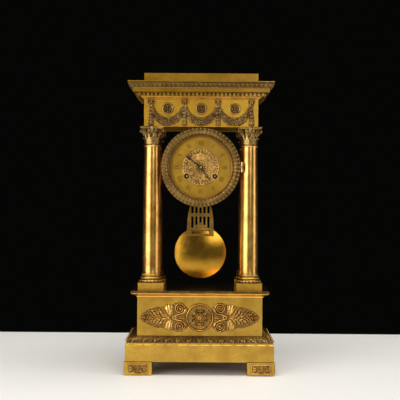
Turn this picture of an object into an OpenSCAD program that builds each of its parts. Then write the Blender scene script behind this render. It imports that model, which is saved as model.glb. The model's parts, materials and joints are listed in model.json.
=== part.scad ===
// Gilt-bronze portico clock. The origin is at the centre of the foot plane, +Z is up and -Y is the front.

/* [Pedestal] */
// Width of the lower plinth
base_w = 230; // [210:1:280]
// Depth of the lower plinth
base_d = 145; // [135:1:180]
// Side of a block foot
foot_w = 42; // [30:1:50]
// Height of the feet
foot_h = 20.5; // [12:0.5:30]
// Height of the lower plinth
plinth_h = 29.5; // [20:0.5:45]
// Height of the leaf moulding over the plinth
base_leaf_h = 8.5; // [6:0.5:12]
// Width of the pedestal die
die_w = 195; // [180:1:205]
// Depth of the pedestal die
die_d = 110; // [104:1:120]
// Height of the pedestal die
die_h = 60.5; // [45:0.5:80]
// Width of the pedestal top slab
top_w = 215; // [200:1:226]
// Depth of the pedestal top slab
top_d = 130; // [122:1:140]
// Height of the pedestal top slab
top_h = 10.5; // [9:0.5:16]
// Wall of the hollow base
case_wall = 4; // [2.5:0.5:6]

/* [Columns] */
// Distance of the column axes from the middle, sideways
col_x = 77; // [76:0.5:80]
// Distance of the column axes from the middle, front to back
col_y = 34.5; // [33:0.5:40]
// Side of a column plinth
col_plinth_w = 40; // [36:1:44]
// Height of a column plinth
col_plinth_h = 11.3; // [8:0.1:16]
// Radius of the leaf-cast torus
torus_r = 19; // [17:0.5:20]
// Height of the torus and rings up to the shaft
col_base_h = 13.2; // [11:0.1:18]
// Radius of the shaft at the foot
shaft_r = 13.4; // [11:0.1:14]
// Radius of the shaft under the capital
shaft_top_r = 11.8; // [10:0.1:12.5]
// Height of the shaft with its neck ring
shaft_h = 203; // [195:1:250]
// Height of the capital
capital_h = 28.5; // [24:0.5:34]
// Side of the abacus on top of a capital
abacus_w = 39; // [35:1:40]

/* [Entablature] */
// Width of the frieze
frieze_w = 179; // [176:1:195]
// Depth of the frieze
frieze_d = 95; // [92:1:105]
// Height of the frieze
frieze_h = 42.5; // [36:0.5:55]
// Wall of the hollow entablature
frieze_wall = 4; // [2.5:0.5:6]
// Overhang of the cornice past the frieze
cornice_out = 24; // [18:0.5:28]
// Height of the bed mould under the dentils
bed_h = 5; // [3:0.5:8]
// Height of the dentil band
dentil_h = 5.5; // [4:0.5:8]
// Height of the plain corona over the dentils
corona_h = 6.5; // [4:0.5:9]
// Height of the leaf cymatium
cymatium_h = 9.5; // [7:0.5:13]
// Height of the attic block
attic_h = 15; // [10:0.5:25]

/* [Drum] */
// Depth of the dial centre under the entablature
dial_down = 63; // [62.9:0.1:76]
// Outer radius of the drum
drum_r = 56; // [54:0.5:57]
// Wall of the drum
drum_wall = 1.5; // [1:0.1:2]
// Front edge of the drum
drum_front = -37; // [-38:0.5:-36]
// Rear edge of the drum
drum_back = 30; // [29:0.5:34]
// Outer radius of the bezel
bezel_r = 62.5; // [60:0.5:62.5]
// Radius of the opening of the bezel
sight_r = 48.5; // [46:0.5:50]
// Depth of the bezel
bezel_depth = 9.7; // [8.5:0.1:10]
// Radius of the dial
dial_r = 52; // [50:0.5:53]

/* [Movement] */
// Radius of the movement plates
plate_r = 42; // [41.5:0.5:44]
// Sideways distance of the winding arbors from the dial centre
arbor_x = 22.3; // [21.5:0.1:24]
// Distance of the winding arbors below the dial centre
arbor_down = 14.4; // [13:0.1:16]
// Teeth of a barrel
barrel_teeth = 84; // [80:1:90]
// Module of the barrel teeth
barrel_mod = 0.44; // [0.4:0.01:0.45]
// Height of the pendulum pivot over the dial centre
pivot_up = 35.1; // [34.5:0.1:36]

/* [Pendulum] */
// Radius of the pendulum bob
bob_r = 42; // [30:0.5:46]
// Thickness of the pendulum bob
bob_t = 16; // [10:0.5:20]
// Distance from the pivot to the centre of the bob
pendulum_l = 172.6; // [160:0.1:200]
// Width of the gridiron frame at its foot
grid_w = 44; // [36:1:50]
// Thickness of the gridiron frame
grid_t = 3; // [2:0.5:4]

/* [Hidden] */
$fn = 48;

// Colours of the finishes
gilt = "goldenrod";
brass = "darkgoldenrod";
steel = "lightsteelblue";
blued = "midnightblue";

// Heights of the faces where the parts of the case meet
z_plinth = foot_h;
z_leaf = z_plinth + plinth_h;
z_die = z_leaf + base_leaf_h;
z_top = z_die + die_h;
z_deck = z_top + top_h;
z_torus = z_deck + col_plinth_h;
z_shaft = z_torus + col_base_h;
z_capital = z_shaft + shaft_h;
z_frieze = z_capital + capital_h;
z_bed = z_frieze + frieze_h;
z_cornice = z_bed + bed_h + dentil_h;
z_attic = z_cornice + corona_h + cymatium_h;
column_sides = [[-1, -1], [1, -1], [-1, 1], [1, 1]];
foot_proud = 0.5;
foot_d = foot_w - 2;
plinth_fillet = 2.5;
leaf_in = (base_w - die_w) / 2;
leaf_in_y = (base_d - die_d) / 2;
bed_out = 5;
dentil_out = 11.1;
dentil_pitch = 6.4;
dentil_gap = 3.1;
dentil_deep = 2.4;
corona_out = cornice_out - 7.5;
rod_r = 2.5;
rod_hole_r = 2.8;
nut_r = 5.5;
nut_h = 5;
soffit = 4;
shaft_bore_r = 6;

// Places along the depth of the drum; the front is negative
z_dial = z_frieze - dial_down;
fit = 0.05;
seat = 0.3;
dial_face = drum_front + 0.8;
dial_t = 1.2;
dial_back = dial_face + dial_t;
front_plate_y = dial_back + 5;
plate_t = 2;
back_plate_y = front_plate_y + plate_t + 22;
back_plate_rear = back_plate_y + plate_t;
pendulum_y = 8;
bezel_back = drum_front - seat;
bezel_front = bezel_back - bezel_depth;
dial_hole_r = 3;
winding_hole_r = 3.9;

// Places on the plates, as [sideways, up] from the dial centre
going_at = [arbor_x, -arbor_down];
strike_at = [-arbor_x, -arbor_down];
pivot_at = [0, pivot_up];
pillar_at = [[0, -plate_r + 4.5], [plate_r - 4, 4], [-plate_r + 3.5, 3], [20, 33]];
pillar_r = 2;

// Third corner of a triangle: at distances ra from a and rb from b, on the left of a to b
function meet(a, b, ra, rb) =
    let (d = norm(b - a), u = (b - a) / d, s = (ra * ra - rb * rb + d * d) / (2 * d))
    a + s * u + sqrt(ra * ra - s * s) * [-u[1], u[0]];
function polar(r, a) = [r * cos(a), r * sin(a)];
function pitch_r(teeth, mod) = teeth * mod / 2;
function heading(a, b) = atan2(b[1] - a[1], b[0] - a[0]);
// Turn of wheel b, at the heading h from wheel a, that puts its teeth in mesh with a wheel turned by phi
function mesh_turn(phi, za, zb, h) = h + 180 + 360 / zb * (0.5 - (phi - h) * za / 360);

// Teeth and modules of the trains
int_pinion = 14;
int_teeth = 72;
int_mod = 0.36;
centre_leaves = 12;
centre_teeth = 84;
centre_mod = 0.3;
third_leaves = 7;
third_teeth = 70;
third_mod = 0.26;
escape_leaves = 7;
escape_teeth = 36;
escape_r = 9;
pin_leaves = 8;
cannon_teeth = 12;
minute_teeth = 36;
cannon_mod = 0.4;
minute_leaves = 10;
hour_teeth = 40;
hour_mod = cannon_mod * (cannon_teeth + minute_teeth) / (minute_leaves + hour_teeth);

// Arbors placed so that each pair of wheels is in mesh
centre_at = [0, 0];
int_at = meet(centre_at, going_at, pitch_r(int_teeth + centre_leaves, int_mod),
    pitch_r(barrel_teeth + int_pinion, barrel_mod));
escape_at = pivot_at - [0, 13];
third_at = meet(centre_at, escape_at, pitch_r(centre_teeth + third_leaves, centre_mod),
    pitch_r(third_teeth + escape_leaves, third_mod));
second_at = strike_at + [0, pitch_r(barrel_teeth + int_pinion, barrel_mod)];
pin_at = second_at + polar(pitch_r(int_teeth + pin_leaves, int_mod), 70);
minute_at = [0, pitch_r(cannon_teeth + minute_teeth, cannon_mod)];
hammer_at = [-28, 27];

// An outline that runs up one side, as [outwards, up], mirrored into a closed profile
function both_sides(w, o) = concat(
    [for (p = o) [w / 2 + p[0], p[1]]],
    [for (i = [len(o) - 1:-1:0]) [-w / 2 - o[i][0], o[i][1]]]);
// A smooth double curve between two overhangs
function ogee(out0, out1, z0, z1, n = 8) =
    [for (i = [0:n]) let (t = i / n) [out0 + (out1 - out0) * (1 - cos(180 * t)) / 2, z0 + (z1 - z0) * t]];
function arc(c, r, a0, a1, n = 6) = [for (i = [0:n]) c + polar(r, a0 + (a1 - a0) * i / n)];

// A block with the same moulding on its four sides, mitred at the corners
module mitred(w, d, across, along) {
    intersection() {
        rotate([90, 0, 0]) linear_extrude(2 * d, center = true) polygon(both_sides(w, across));
        rotate([90, 0, 90]) linear_extrude(2 * w, center = true) polygon(both_sides(d, along));
    }
}

module box(w, d, z0, z1) {
    translate([-w / 2, -d / 2, z0]) cube([w, d, z1 - z0]);
}

// A turned or extruded shape that faces the front, with its flat back at the depth y
module facing(x, y, z) {
    translate([x, y, z]) rotate([90, 0, 0]) children();
}

module at_columns() {
    for (s = column_sides) translate([s[0] * col_x, s[1] * col_y, 0]) children();
}

// Outline of a leaf with lobed edges, from its stalk along x
function leaf_edge(l, w, lobes) =
    let (n = lobes * 4)
    [for (i = [1:n - 1]) let (t = i / n)
        [l * t, w / 2 * pow(sin(180 * pow(t, 0.7)), 0.75) * (1 - 0.15 * (1 + cos(360 * lobes * t)))]];
module leaf_outline(l, w, lobes = 3) {
    edge = leaf_edge(l, w, lobes);
    polygon(concat([[0, -w * 0.12]], [for (e = edge) [e[0], -e[1]]], [[l, 0]],
        [for (i = [len(edge) - 1:-1:0]) edge[i]], [[0, w * 0.12]]));
}

// Outline of a scroll that winds in to its eye
module volute_outline(r, w, turns = 1.5) {
    n = 24;
    line = [for (i = [0:n]) let (t = i / n) [r - w / 2 - (r - w * 1.1) * 0.86 * t, 360 * turns * t,
        w * (1 - 0.35 * t) / 2]];
    polygon(concat([for (l = line) polar(l[0] + l[2], l[1])], [for (i = [n:-1:0])
        polar(line[i][0] - line[i][2], line[i][1])]));
    circle(r = r * 0.3);
}

// Half-round leaf that lies down a moulding, from [out, up] to [out, up], for a side that faces -y
module tongue(top, tip, r_top, r_tip) {
    run = tip - top;
    translate([0, -top[0], top[1]]) rotate([90 - atan2(run[1], run[0]), 0, 0])
        cylinder(r1 = r_top, r2 = r_tip, h = norm(run));
}

// Repeats a side's leaf along the four sides of a block
module along_sides(w, d, pitch) {
    nx = floor(w / pitch / 2);
    ny = floor(d / pitch / 2);
    for (s = [0, 180], i = [-nx:nx]) rotate(s) translate([i * w / (2 * nx + 1), -d / 2, 0]) children();
    for (s = [90, 270], i = [-ny:ny]) rotate(s) translate([i * d / (2 * ny + 1), -w / 2, 0]) children();
}

// Round flower of petals about a boss, flat at the back
module flower(r, h, petals) {
    cylinder(r = r * 0.42, h = h);
    for (i = [0:petals - 1]) rotate(i * 360 / petals) translate([r * 0.62, 0, 0]) cylinder(r = r * 0.36,
        h = h * 0.7);
}

module foot_panel() {
    panel = foot_h - 5;
    difference() {
        translate([-panel / 2 - 5, -panel / 2, 0]) cube([panel + 10, panel, 0.8]);
        translate([-panel / 2 - 3.6, -panel / 2 + 1.4, -1]) cube([panel + 7.2, panel - 2.8, 3]);
    }
    flower(panel / 2 - 2, 1.2, 8);
}

module feet() {
    color(gilt)
    for (s = column_sides) {
        x = s[0] * (base_w / 2 + foot_proud - foot_w / 2);
        y = s[1] * (base_d / 2 - foot_d / 2);
        translate([x, y, 0]) {
            translate([-foot_w / 2, -foot_d / 2, 0]) cube([foot_w, foot_d, foot_h]);
            translate([0, s[1] * foot_d / 2, foot_h / 2]) rotate([-s[1] * 90, 0, 0]) foot_panel();
            translate([s[0] * foot_w / 2, 0, foot_h / 2]) rotate([90, 0, s[0] * 90]) foot_panel();
        }
    }
}

module lower_plinth() {
    edge = [[-1, z_plinth], [0, z_plinth + 1], [0, z_leaf - plinth_fillet - 1], [-1.4,
        z_leaf - plinth_fillet],
        [-1.4, z_leaf]];
    color(gilt) difference() {
        mitred(base_w, base_d, edge, edge);
        box(base_w - 2 * leaf_in, base_d - 2 * leaf_in_y, z_plinth - 1, z_leaf + 1);
        box(base_w - 2 * case_wall, base_d - 2 * case_wall, z_plinth - 1, z_leaf - case_wall);
    }
}

module base_leaf_moulding() {
    leaf_r = 5;
    tip = [leaf_in - 7, z_leaf - 0.5];
    color(gilt) difference() {
        union() {
            mitred(die_w, die_d,
                concat([[leaf_in - 2, z_leaf]], ogee(leaf_in - 2, 0.8, z_leaf + 1, z_die - 1), [[0.8,
                    z_die]]),
                concat([[leaf_in_y - 2, z_leaf]], ogee(leaf_in_y - 2, 0.8, z_leaf + 1, z_die - 1),
                    [[0.8, z_die]]));
            intersection() {
                along_sides(die_w, die_d, 15) {
                    tongue([3.5, z_die - 5.3], tip, 3.2, leaf_r);
                    translate([0, -tip[0], tip[1]]) sphere(r = leaf_r);
                }
                box(base_w, base_d, z_leaf, z_die - 0.4);
            }
        }
        box(die_w - 2 * case_wall, die_d - 2 * case_wall, z_leaf - 1, z_die + 1);
    }
}

module pedestal_die() {
    color(gilt) difference() {
        box(die_w, die_d, z_die, z_top);
        box(die_w - 2 * case_wall, die_d - 2 * case_wall, z_die - 1, z_top + 1);
    }
}

module pedestal_top() {
    out = (top_w - die_w) / 2;
    out_y = (top_d - die_d) / 2;
    lip = 3.5;
    color(gilt) difference() {
        mitred(die_w, die_d,
            concat([[0.8, z_top]], ogee(1.4, out - 1.2, z_top + 1, z_deck - lip - 0.8), [[out,
                z_deck - lip], [out, z_deck]]),
            concat([[0.8, z_top]], ogee(1.4, out_y - 1.2, z_top + 1, z_deck - lip - 0.8), [[out_y,
                z_deck - lip], [out_y, z_deck]]));
        box(die_w - 2 * case_wall, die_d - 2 * case_wall, z_top - 1, z_deck - case_wall);
        at_columns() translate([0, 0, z_top - 1]) cylinder(r = rod_hole_r, h = top_h + 2);
    }
}

module column_bases() {
    low = col_base_h * 0.36;
    mid = col_base_h * 0.13;
    top = col_base_h * 0.11;
    mid_r = torus_r - 1.9;
    color(gilt) at_columns() difference() {
        union() {
            translate([-col_plinth_w / 2, -col_plinth_w / 2, z_deck]) cube([col_plinth_w, col_plinth_w,
                col_plinth_h]);
            rotate_extrude() polygon(concat([[0, z_torus]],
                arc([torus_r - low / 2, z_torus + low / 2], low / 2, -90, 90),
                [[mid_r - 2.4, z_torus + low], [mid_r - 2.4, z_torus + low + 0.6]],
                arc([mid_r - mid, z_torus + low + 0.6 + mid], mid, -90, 90),
                [[mid_r - 3.2, z_torus + low + 0.6 + 2 * mid], [mid_r - 3.2, z_shaft - 2 * top]],
                arc([mid_r - 2.9, z_shaft - top], top, -90, 90),
                [[0, z_shaft]]));
        }
        translate([0, 0, z_deck - 1]) cylinder(r = rod_hole_r, h = z_shaft - z_deck + 2);
    }
}

// Column shafts swell a little and carry a ring under the capital
module column_shaft(side) {
    neck = 3;
    flare = 3;
    body_h = shaft_h - neck - flare;
    steps = 8;
    color(gilt) translate([side[0] * col_x, side[1] * col_y, z_shaft]) difference() {
        rotate_extrude() polygon(concat([[0, 0], [shaft_r + 1.5, 0], [shaft_r + 1.2, 1]],
            [for (i = [0:steps]) let (t = i / steps)
                [shaft_r + (shaft_top_r - shaft_r) * t * t, flare + body_h * t]],
            arc([shaft_top_r + 0.2, shaft_h - neck / 2], neck / 2, -90, 90),
            [[0, shaft_h]]));
        translate([0, 0, -1]) cylinder(r = shaft_bore_r, h = shaft_h + 2);
    }
}

module column_shaft_front_left() { column_shaft(column_sides[0]); }
module column_shaft_front_right() { column_shaft(column_sides[1]); }
module column_shaft_rear_left() { column_shaft(column_sides[2]); }
module column_shaft_rear_right() { column_shaft(column_sides[3]); }

// Ring of eight leaves that lean out and curl at the tip
module leaf_row(r, h, out, turn) {
    leaf_w = 2 * PI * r / 8 * 0.92;
    thick = 1.6;
    intersection() {
        rotate_extrude() polygon(concat(
            [[r - 2, 0], [r + 0.4, 0], [r + 0.9, h * 0.5], [r + out * 0.55, h * 0.8]],
            arc([r + out - 1.4, h - 1.6], 1.6, -60, 100, 4),
            [[r + out * 0.5 - thick, h * 0.8], [r - 2, h * 0.62]]));
        union() for (i = [0:3]) rotate([90, 0, turn + i * 45]) linear_extrude(4 * r, center = true)
            polygon([[-leaf_w / 2, -1], [leaf_w / 2, -1], [leaf_w / 2, h * 0.6], [leaf_w * 0.36, h * 0.86],
                [leaf_w * 0.14, h + 1], [-leaf_w * 0.14, h + 1], [-leaf_w * 0.36, h * 0.86],
                    [-leaf_w / 2, h * 0.6]]);
    }
}

module abacus(h) {
    half = abacus_w / 2;
    sag = 2.6;
    bow = (half * half + sag * sag) / (2 * sag);
    cut = 1.6;
    linear_extrude(h) difference() {
        intersection() {
            square(abacus_w, center = true);
            rotate(45) square(abacus_w * sqrt(2) - 2 * cut, center = true);
        }
        for (i = [0:3]) rotate(i * 90) translate([half - sag + bow, 0]) circle(r = bow, $fn = 96);
    }
}

// Corinthian capital: bell, two rows of leaves, corner volutes and a hollow-sided abacus
module capital(side) {
    slab = 3.2;
    bell_h = capital_h - slab;
    volute_r = 3.4;
    color(gilt) translate([side[0] * col_x, side[1] * col_y, z_capital]) difference() {
        union() {
            rotate_extrude() polygon([[0, 0], [shaft_top_r - 0.6, 0], [shaft_top_r - 0.6, bell_h * 0.6],
                [shaft_top_r + 1, bell_h * 0.85], [shaft_top_r + 3.4, bell_h], [0, bell_h]]);
            leaf_row(shaft_top_r - 0.4, bell_h * 0.42, 3.4, 0);
            leaf_row(shaft_top_r - 0.6, bell_h * 0.72, 4.2, 22.5);
            for (i = [0:3]) rotate(45 + i * 90) translate([abacus_w / 2 * sqrt(2) - volute_r - 3.6, 0,
                bell_h - volute_r + 0.4])
                rotate([90, 0, 0]) cylinder(r = volute_r, h = 4.4, center = true);
            for (i = [0:3]) rotate(45 + i * 90) translate([shaft_top_r - 2, -1.2, bell_h * 0.62])
                cube([8, 2.4, bell_h * 0.38]);
            translate([0, 0, bell_h]) abacus(slab);
            for (i = [0:3]) rotate(i * 90) facing(0, 3.6 - abacus_w / 2, bell_h + slab / 2 - 0.6)
                flower(2.2, 2.2, 5);
        }
        translate([0, 0, -1]) cylinder(r = rod_hole_r, h = capital_h + 2);
    }
}

module capital_front_left() { capital(column_sides[0]); }
module capital_front_right() { capital(column_sides[1]); }
module capital_rear_left() { capital(column_sides[2]); }
module capital_rear_right() { capital(column_sides[3]); }

// Rods from under the pedestal top, through the columns, to nuts inside the frieze
module tie_rods() {
    under = z_deck - case_wall - nut_h;
    over = z_frieze + soffit;
    color(steel) at_columns() {
        translate([0, 0, under - 1]) cylinder(r = rod_r, h = over + nut_h - under + 3);
        translate([0, 0, under]) cylinder(r = nut_r, h = nut_h, $fn = 6);
        translate([0, 0, over]) cylinder(r = nut_r, h = nut_h, $fn = 6);
    }
}

module entablature_frieze() {
    color(gilt) difference() {
        box(frieze_w, frieze_d, z_frieze, z_bed);
        box(frieze_w - 2 * frieze_wall, frieze_d - 2 * frieze_wall, z_frieze + soffit, z_bed + 1);
        at_columns() translate([0, 0, z_frieze - 1]) cylinder(r = rod_hole_r, h = soffit + 2);
    }
}

module dentil_moulding() {
    z = z_bed + bed_h;
    band_w = frieze_w + 2 * dentil_out;
    band_d = frieze_d + 2 * dentil_out;
    color(gilt) difference() {
        union() {
            mitred(frieze_w, frieze_d, ogee(0.5, bed_out, z_bed, z), ogee(0.5, bed_out, z_bed, z));
            box(band_w, band_d, z, z_cornice);
        }
        box(frieze_w - 2 * frieze_wall, frieze_d - 2 * frieze_wall, z_bed - 1, z_cornice + 1);
        for (x = [0:dentil_pitch:band_w / 2 - 3], sx = [-1, 1], sy = [-1, 1])
            translate([sx * (x + dentil_pitch / 2), sy * band_d / 2, z - 1 + dentil_h / 2])
                cube([dentil_gap, 2 * dentil_deep, dentil_h], center = true);
        for (y = [0:dentil_pitch:band_d / 2 - 3], sx = [-1, 1], sy = [-1, 1])
            translate([sx * band_w / 2, sy * (y + dentil_pitch / 2), z - 1 + dentil_h / 2])
                cube([2 * dentil_deep, dentil_gap, dentil_h], center = true);
    }
}

module cornice() {
    top = z_attic;
    mid = z_cornice + corona_h;
    edge = concat([[corona_out, z_cornice], [corona_out, mid - 0.8], [corona_out + 1, mid - 0.8]],
        ogee(corona_out + 1.4, cornice_out - 0.8, mid, top - 2), [[cornice_out, top - 1.6],
            [cornice_out, top]]);
    color(gilt) difference() {
        union() {
            mitred(frieze_w, frieze_d, edge, edge);
            along_sides(frieze_w + 2 * corona_out, frieze_d + 2 * corona_out, 9)
                tongue([cornice_out - corona_out - 4, top - 2.75], [-0.2, mid + 2.6], 3.4, 2.8);
        }
        box(frieze_w - 2 * frieze_wall, frieze_d - 2 * frieze_wall, z_cornice - 1, top + 1);
    }
}

module attic_block() {
    color(gilt) difference() {
        box(frieze_w, frieze_d, z_attic, z_attic + attic_h);
        box(frieze_w - 2 * frieze_wall, frieze_d - 2 * frieze_wall, z_attic - 1,
            z_attic + attic_h - frieze_wall);
    }
}

// Cast hanging garland between two points of the same height
module garland(half) {
    high = 19;
    low = 31;
    up_r = (half * half + high * high) / (2 * high);
    low_r = (half * half + low * low) / (2 * low);
    linear_extrude(2.4) difference() {
        translate([0, low_r - low]) circle(r = low_r);
        translate([0, up_r - high]) circle(r = up_r);
    }
    for (a = [-50:25:50]) translate([0, low_r - low, 0]) rotate(a) translate([0, -low_r + 5.6, 0])
        flower(3.4 + 1.6 * cos(a), 4.2, 6);
    for (a = [-62.5:12.5:62.5]) translate([0, low_r - low, 0]) rotate(a) translate([0, 2.6 - low_r, 0])
        intersection() {
            sphere(r = 2.4);
            cylinder(r = 3, h = 3);
        }
}

module drop() {
    beads = 7;
    for (i = [0:beads - 1]) translate([0, -i * 4.9, 0]) cylinder(r = 3.3 - i * 0.3, h = 3.4 - i * 0.2);
    translate([-0.8, -30, 0]) cube([1.6, 34, 1.6]);
}

swag_z = z_frieze + 36.5;
swag_step = 54.6;

module frieze_swags() {
    color(gilt) {
        for (i = [-1:1]) facing(i * swag_step, -frieze_d / 2, swag_z) garland(swag_step / 2 - 0.6);
        for (i = [-1.5:1:1.5]) facing(i * swag_step, -frieze_d / 2, swag_z) drop();
    }
}

module frieze_rosettes() {
    r = 8.8;
    color(gilt) for (i = [-1:1]) facing(i * swag_step, -frieze_d / 2, swag_z - 6) {
        rotate_extrude() polygon(concat([[0, 0], [r, 0]], arc([r - 1.2, 1.6], 1.2, 0, 180),
            [[r - 2.6, 1], [0, 1]]));
        flower(r - 3, 2.8, 8);
    }
}

// One half of the mount's foliage: a stem, scrolls, a palmette and the leaves of a tapering spray
module mount_side() {
    half = 92.5;
    polygon([[19, -2.3], [60, -1.9], [half - 6, -1], [half, 0], [half - 6, 1], [60, 1.9], [19, 2.3]]);
    for (flip = [0, 1]) mirror([0, flip, 0]) {
        translate([29.4, 12]) rotate(-68) volute_outline(7.4, 1.9);
        translate([51, 11.4]) rotate(-75) volute_outline(5.8, 1.5);
        translate([63.2, 8.2]) rotate(-75) volute_outline(4.9, 1.25);
        translate([73.6, 6]) rotate(-80) volute_outline(4.1, 1.05);
        translate([22, 0]) rotate(42) leaf_outline(13, 5, 1);
        for (l = [[14, 13], [36, 16.5], [60, 17]]) translate([38, 1]) rotate(l[0]) leaf_outline(l[1], 5, 2);
        for (l = [[50, 5], [62, 4], [72, 3.2], [80, 2.6]]) translate([l[0] - 4, 0.6]) rotate(52)
            leaf_outline(l[1] * 1.9 + 1, 3, 1);
        for (l = [[58, 12.6], [68.4, 9.6], [77.6, 6.8]]) translate([l[0] - 1.5, l[1] - 1]) rotate(-20)
            leaf_outline(8.4, 3.4, 1);
    }
}

// Applied cast mount: a ringed rosette with scrolls, palmettes and leaves each side
module pedestal_mount() {
    ring_r = 21.5;
    color(gilt) facing(0, -die_d / 2, z_die + die_h / 2 - 1.4) {
        linear_extrude(2.5) for (turn = [0, 180]) rotate(turn) mount_side();
        rotate_extrude() polygon(concat([[ring_r - 4.2, 0], [ring_r, 0]],
            arc([ring_r - 2.1, 2.2], 2.1, 0, 180)));
        cylinder(r = ring_r - 4, h = 1);
        linear_extrude(2.2) for (i = [0:7]) rotate(i * 45) translate([3, 0]) leaf_outline(8.8, 5, 2);
        for (i = [0:7]) rotate(i * 45 + 22.5) translate([13.4, 0, 0]) cylinder(r = 3, h = 2);
        for (i = [0:7]) rotate(i * 45 + 22.5) translate([13.4, 0, 0]) cylinder(r = 1.6, h = 3);
        cylinder(r = 4.4, h = 3.2);
    }
}

// Extrudes an outline drawn on the dial's plane between two depths
module between(y0, y1) {
    translate([0, y1, z_dial]) rotate([90, 0, 0]) linear_extrude(y1 - y0) children();
}

module rod(at, r, y0, y1) {
    translate([at[0], y1, z_dial + at[1]]) rotate([90, 0, 0]) cylinder(r = r, h = y1 - y0);
}

// Turns a profile of [radius, depth] points about a line through a place on the dial's plane
module turned(at, profile) {
    translate([at[0], 0, z_dial + at[1]]) rotate([-90, 0, 0]) rotate_extrude($fn = 96) polygon(profile);
}

// Closed ring of teeth; the first is centred on the turn phi
function teeth_ring(teeth, mod, phi, add, wide, tip, ded) = [
    for (i = [0:teeth - 1])
        let (a = phi + i * 360 / teeth, p = 180 / teeth, r = pitch_r(teeth, mod),
            mid = wide * 0.5 + tip * 0.6)
        each [polar(r - ded * mod, a - wide * p * 1.1), polar(r, a - wide * p),
            polar(r + add * mod * 0.6, a - mid * p),
            polar(r + add * mod, a - tip * p), polar(r + add * mod, a + tip * p),
            polar(r + add * mod * 0.6, a + mid * p), polar(r, a + wide * p), polar(r - ded * mod,
                a + wide * p * 1.1)]];

module wheel_teeth(teeth, mod, phi) {
    polygon(teeth_ring(teeth, mod, phi, 0.85, 0.44, 0.14, 1.2));
}

module leaf_teeth(teeth, mod, phi) {
    polygon(teeth_ring(teeth, mod, phi, 0.6, 0.34, 0.2, 1.4));
}

// Crossed-out wheel: a rim, five arms and a hub
module crossed(outer, rim, hub) {
    arm = 1.3;
    difference() {
        children();
        difference() {
            circle(r = outer - rim);
            circle(r = hub);
            for (i = [0:4]) rotate(90 + i * 72) translate([0, -arm / 2]) square([outer, arm]);
        }
    }
}

pivot_r = 0.5;
post_r = 0.75;
centre_r = 0.9;
cannon_r = 1.6;
pipe_r = 2.5;
winding_r = 2.2;
rear_winding_r = 1.5;
knuckle_r = 1.9;
pin_r = 1;

// Depths of the layers of wheels between the plates
lead_y = front_plate_y + plate_t + 1.2;
barrel_y = front_plate_y + plate_t + 4;
barrel_rear = barrel_y + 14;
rear_y = back_plate_y - 2.6;
third_y = barrel_y + 9.5;
escape_y = barrel_y + 5.4;
pin_y = barrel_y + 12;
motion_y = front_plate_y - 1.8;
hour_y = motion_y - 1.8;

phi_int = mesh_turn(0, barrel_teeth, int_pinion, heading(going_at, int_at));
phi_centre = mesh_turn(phi_int, int_teeth, centre_leaves, heading(int_at, centre_at));
phi_third = mesh_turn(phi_centre, centre_teeth, third_leaves, heading(centre_at, third_at));
phi_escape = mesh_turn(phi_third, third_teeth, escape_leaves, heading(third_at, escape_at));
phi_second = mesh_turn(0, barrel_teeth, int_pinion, heading(strike_at, second_at));
phi_pin = mesh_turn(phi_second, int_teeth, pin_leaves, heading(second_at, pin_at));
phi_minute = mesh_turn(0, cannon_teeth, minute_teeth, heading(centre_at, minute_at));
phi_hour = mesh_turn(phi_minute, minute_leaves, hour_teeth, heading(minute_at, centre_at));

module at(p) {
    translate(p) children();
}

// Arbor between the plates, thinned to a pivot in each plate
module arbor(p) {
    rod(p, pivot_r, front_plate_y + 0.2, back_plate_rear - 0.2);
    rod(p, post_r, front_plate_y + plate_t + 0.3, back_plate_y - 0.3);
}

hinge_x = bezel_r + 2.1;
hinge_y = bezel_front - 0.4;
knuckle_h = 5;
rear_hinge = [drum_r + 2.5, drum_back + 2.2];
rear_reach = drum_back - 8;

module knuckle(x, y, z0, z1, bore) {
    translate([x, y, z_dial + z0]) difference() {
        cylinder(r = knuckle_r, h = z1 - z0);
        translate([0, 0, -1]) cylinder(r = bore, h = z1 - z0 + 2);
    }
}

// Drum with the ledge for the dial, the slot for the pendulum and the lugs of both hinges
module drum_case() {
    slot_w = 20;
    ledge_r = dial_r - 1.5;
    color(brass) {
        difference() {
            union() {
                between(drum_front, drum_back) difference() {
                    circle(r = drum_r, $fn = 96);
                    circle(r = drum_r - drum_wall, $fn = 96);
                }
                between(dial_back, dial_back + 1.5) difference() {
                    circle(r = drum_r - drum_wall + 0.1, $fn = 96);
                    circle(r = ledge_r, $fn = 96);
                }
            }
            translate([-slot_w / 2, pendulum_y - 7, z_dial - drum_r - 2]) cube([slot_w, 14, 8]);
        }
        for (s = [-1, 1]) {
            z = s * knuckle_h;
            translate([drum_r - 1, drum_front + 0.3, z_dial + z - knuckle_h / 2])
                cube([hinge_x - drum_r + 0.6, 2, knuckle_h]);
            translate([hinge_x - 1.4, hinge_y, z_dial + z - knuckle_h / 2]) cube([1.2,
                drum_front + 1 - hinge_y, knuckle_h]);
            knuckle(hinge_x, hinge_y, z - knuckle_h / 2, z + knuckle_h / 2, pin_r);
            translate([drum_r - 1, rear_reach, z_dial + z - knuckle_h / 2])
                cube([rear_hinge[0] - drum_r + 1.6, drum_back - rear_reach, knuckle_h]);
            translate([drum_r + 1, drum_back - 1, z_dial + z - knuckle_h / 2])
                cube([rear_hinge[0] - drum_r - 0.4, 3, knuckle_h]);
            knuckle(rear_hinge[0], rear_hinge[1], z - knuckle_h / 2, z + knuckle_h / 2, pin_r);
        }
        for (p = [[hinge_x, hinge_y], rear_hinge])
            translate([p[0], p[1], z_dial - 1.5 * knuckle_h - 0.6]) cylinder(r = pin_r,
                h = 3 * knuckle_h + 1.2);
    }
}

module drum_hanger() {
    color(brass) translate([0, 24, 0]) rotate([90, 0, 0]) linear_extrude(54) difference() {
        translate([-14, z_dial + drum_r * 0.9]) square([28, z_frieze - z_dial - drum_r * 0.9]);
        translate([0, z_dial]) circle(r = drum_r, $fn = 96);
    }
}

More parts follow.
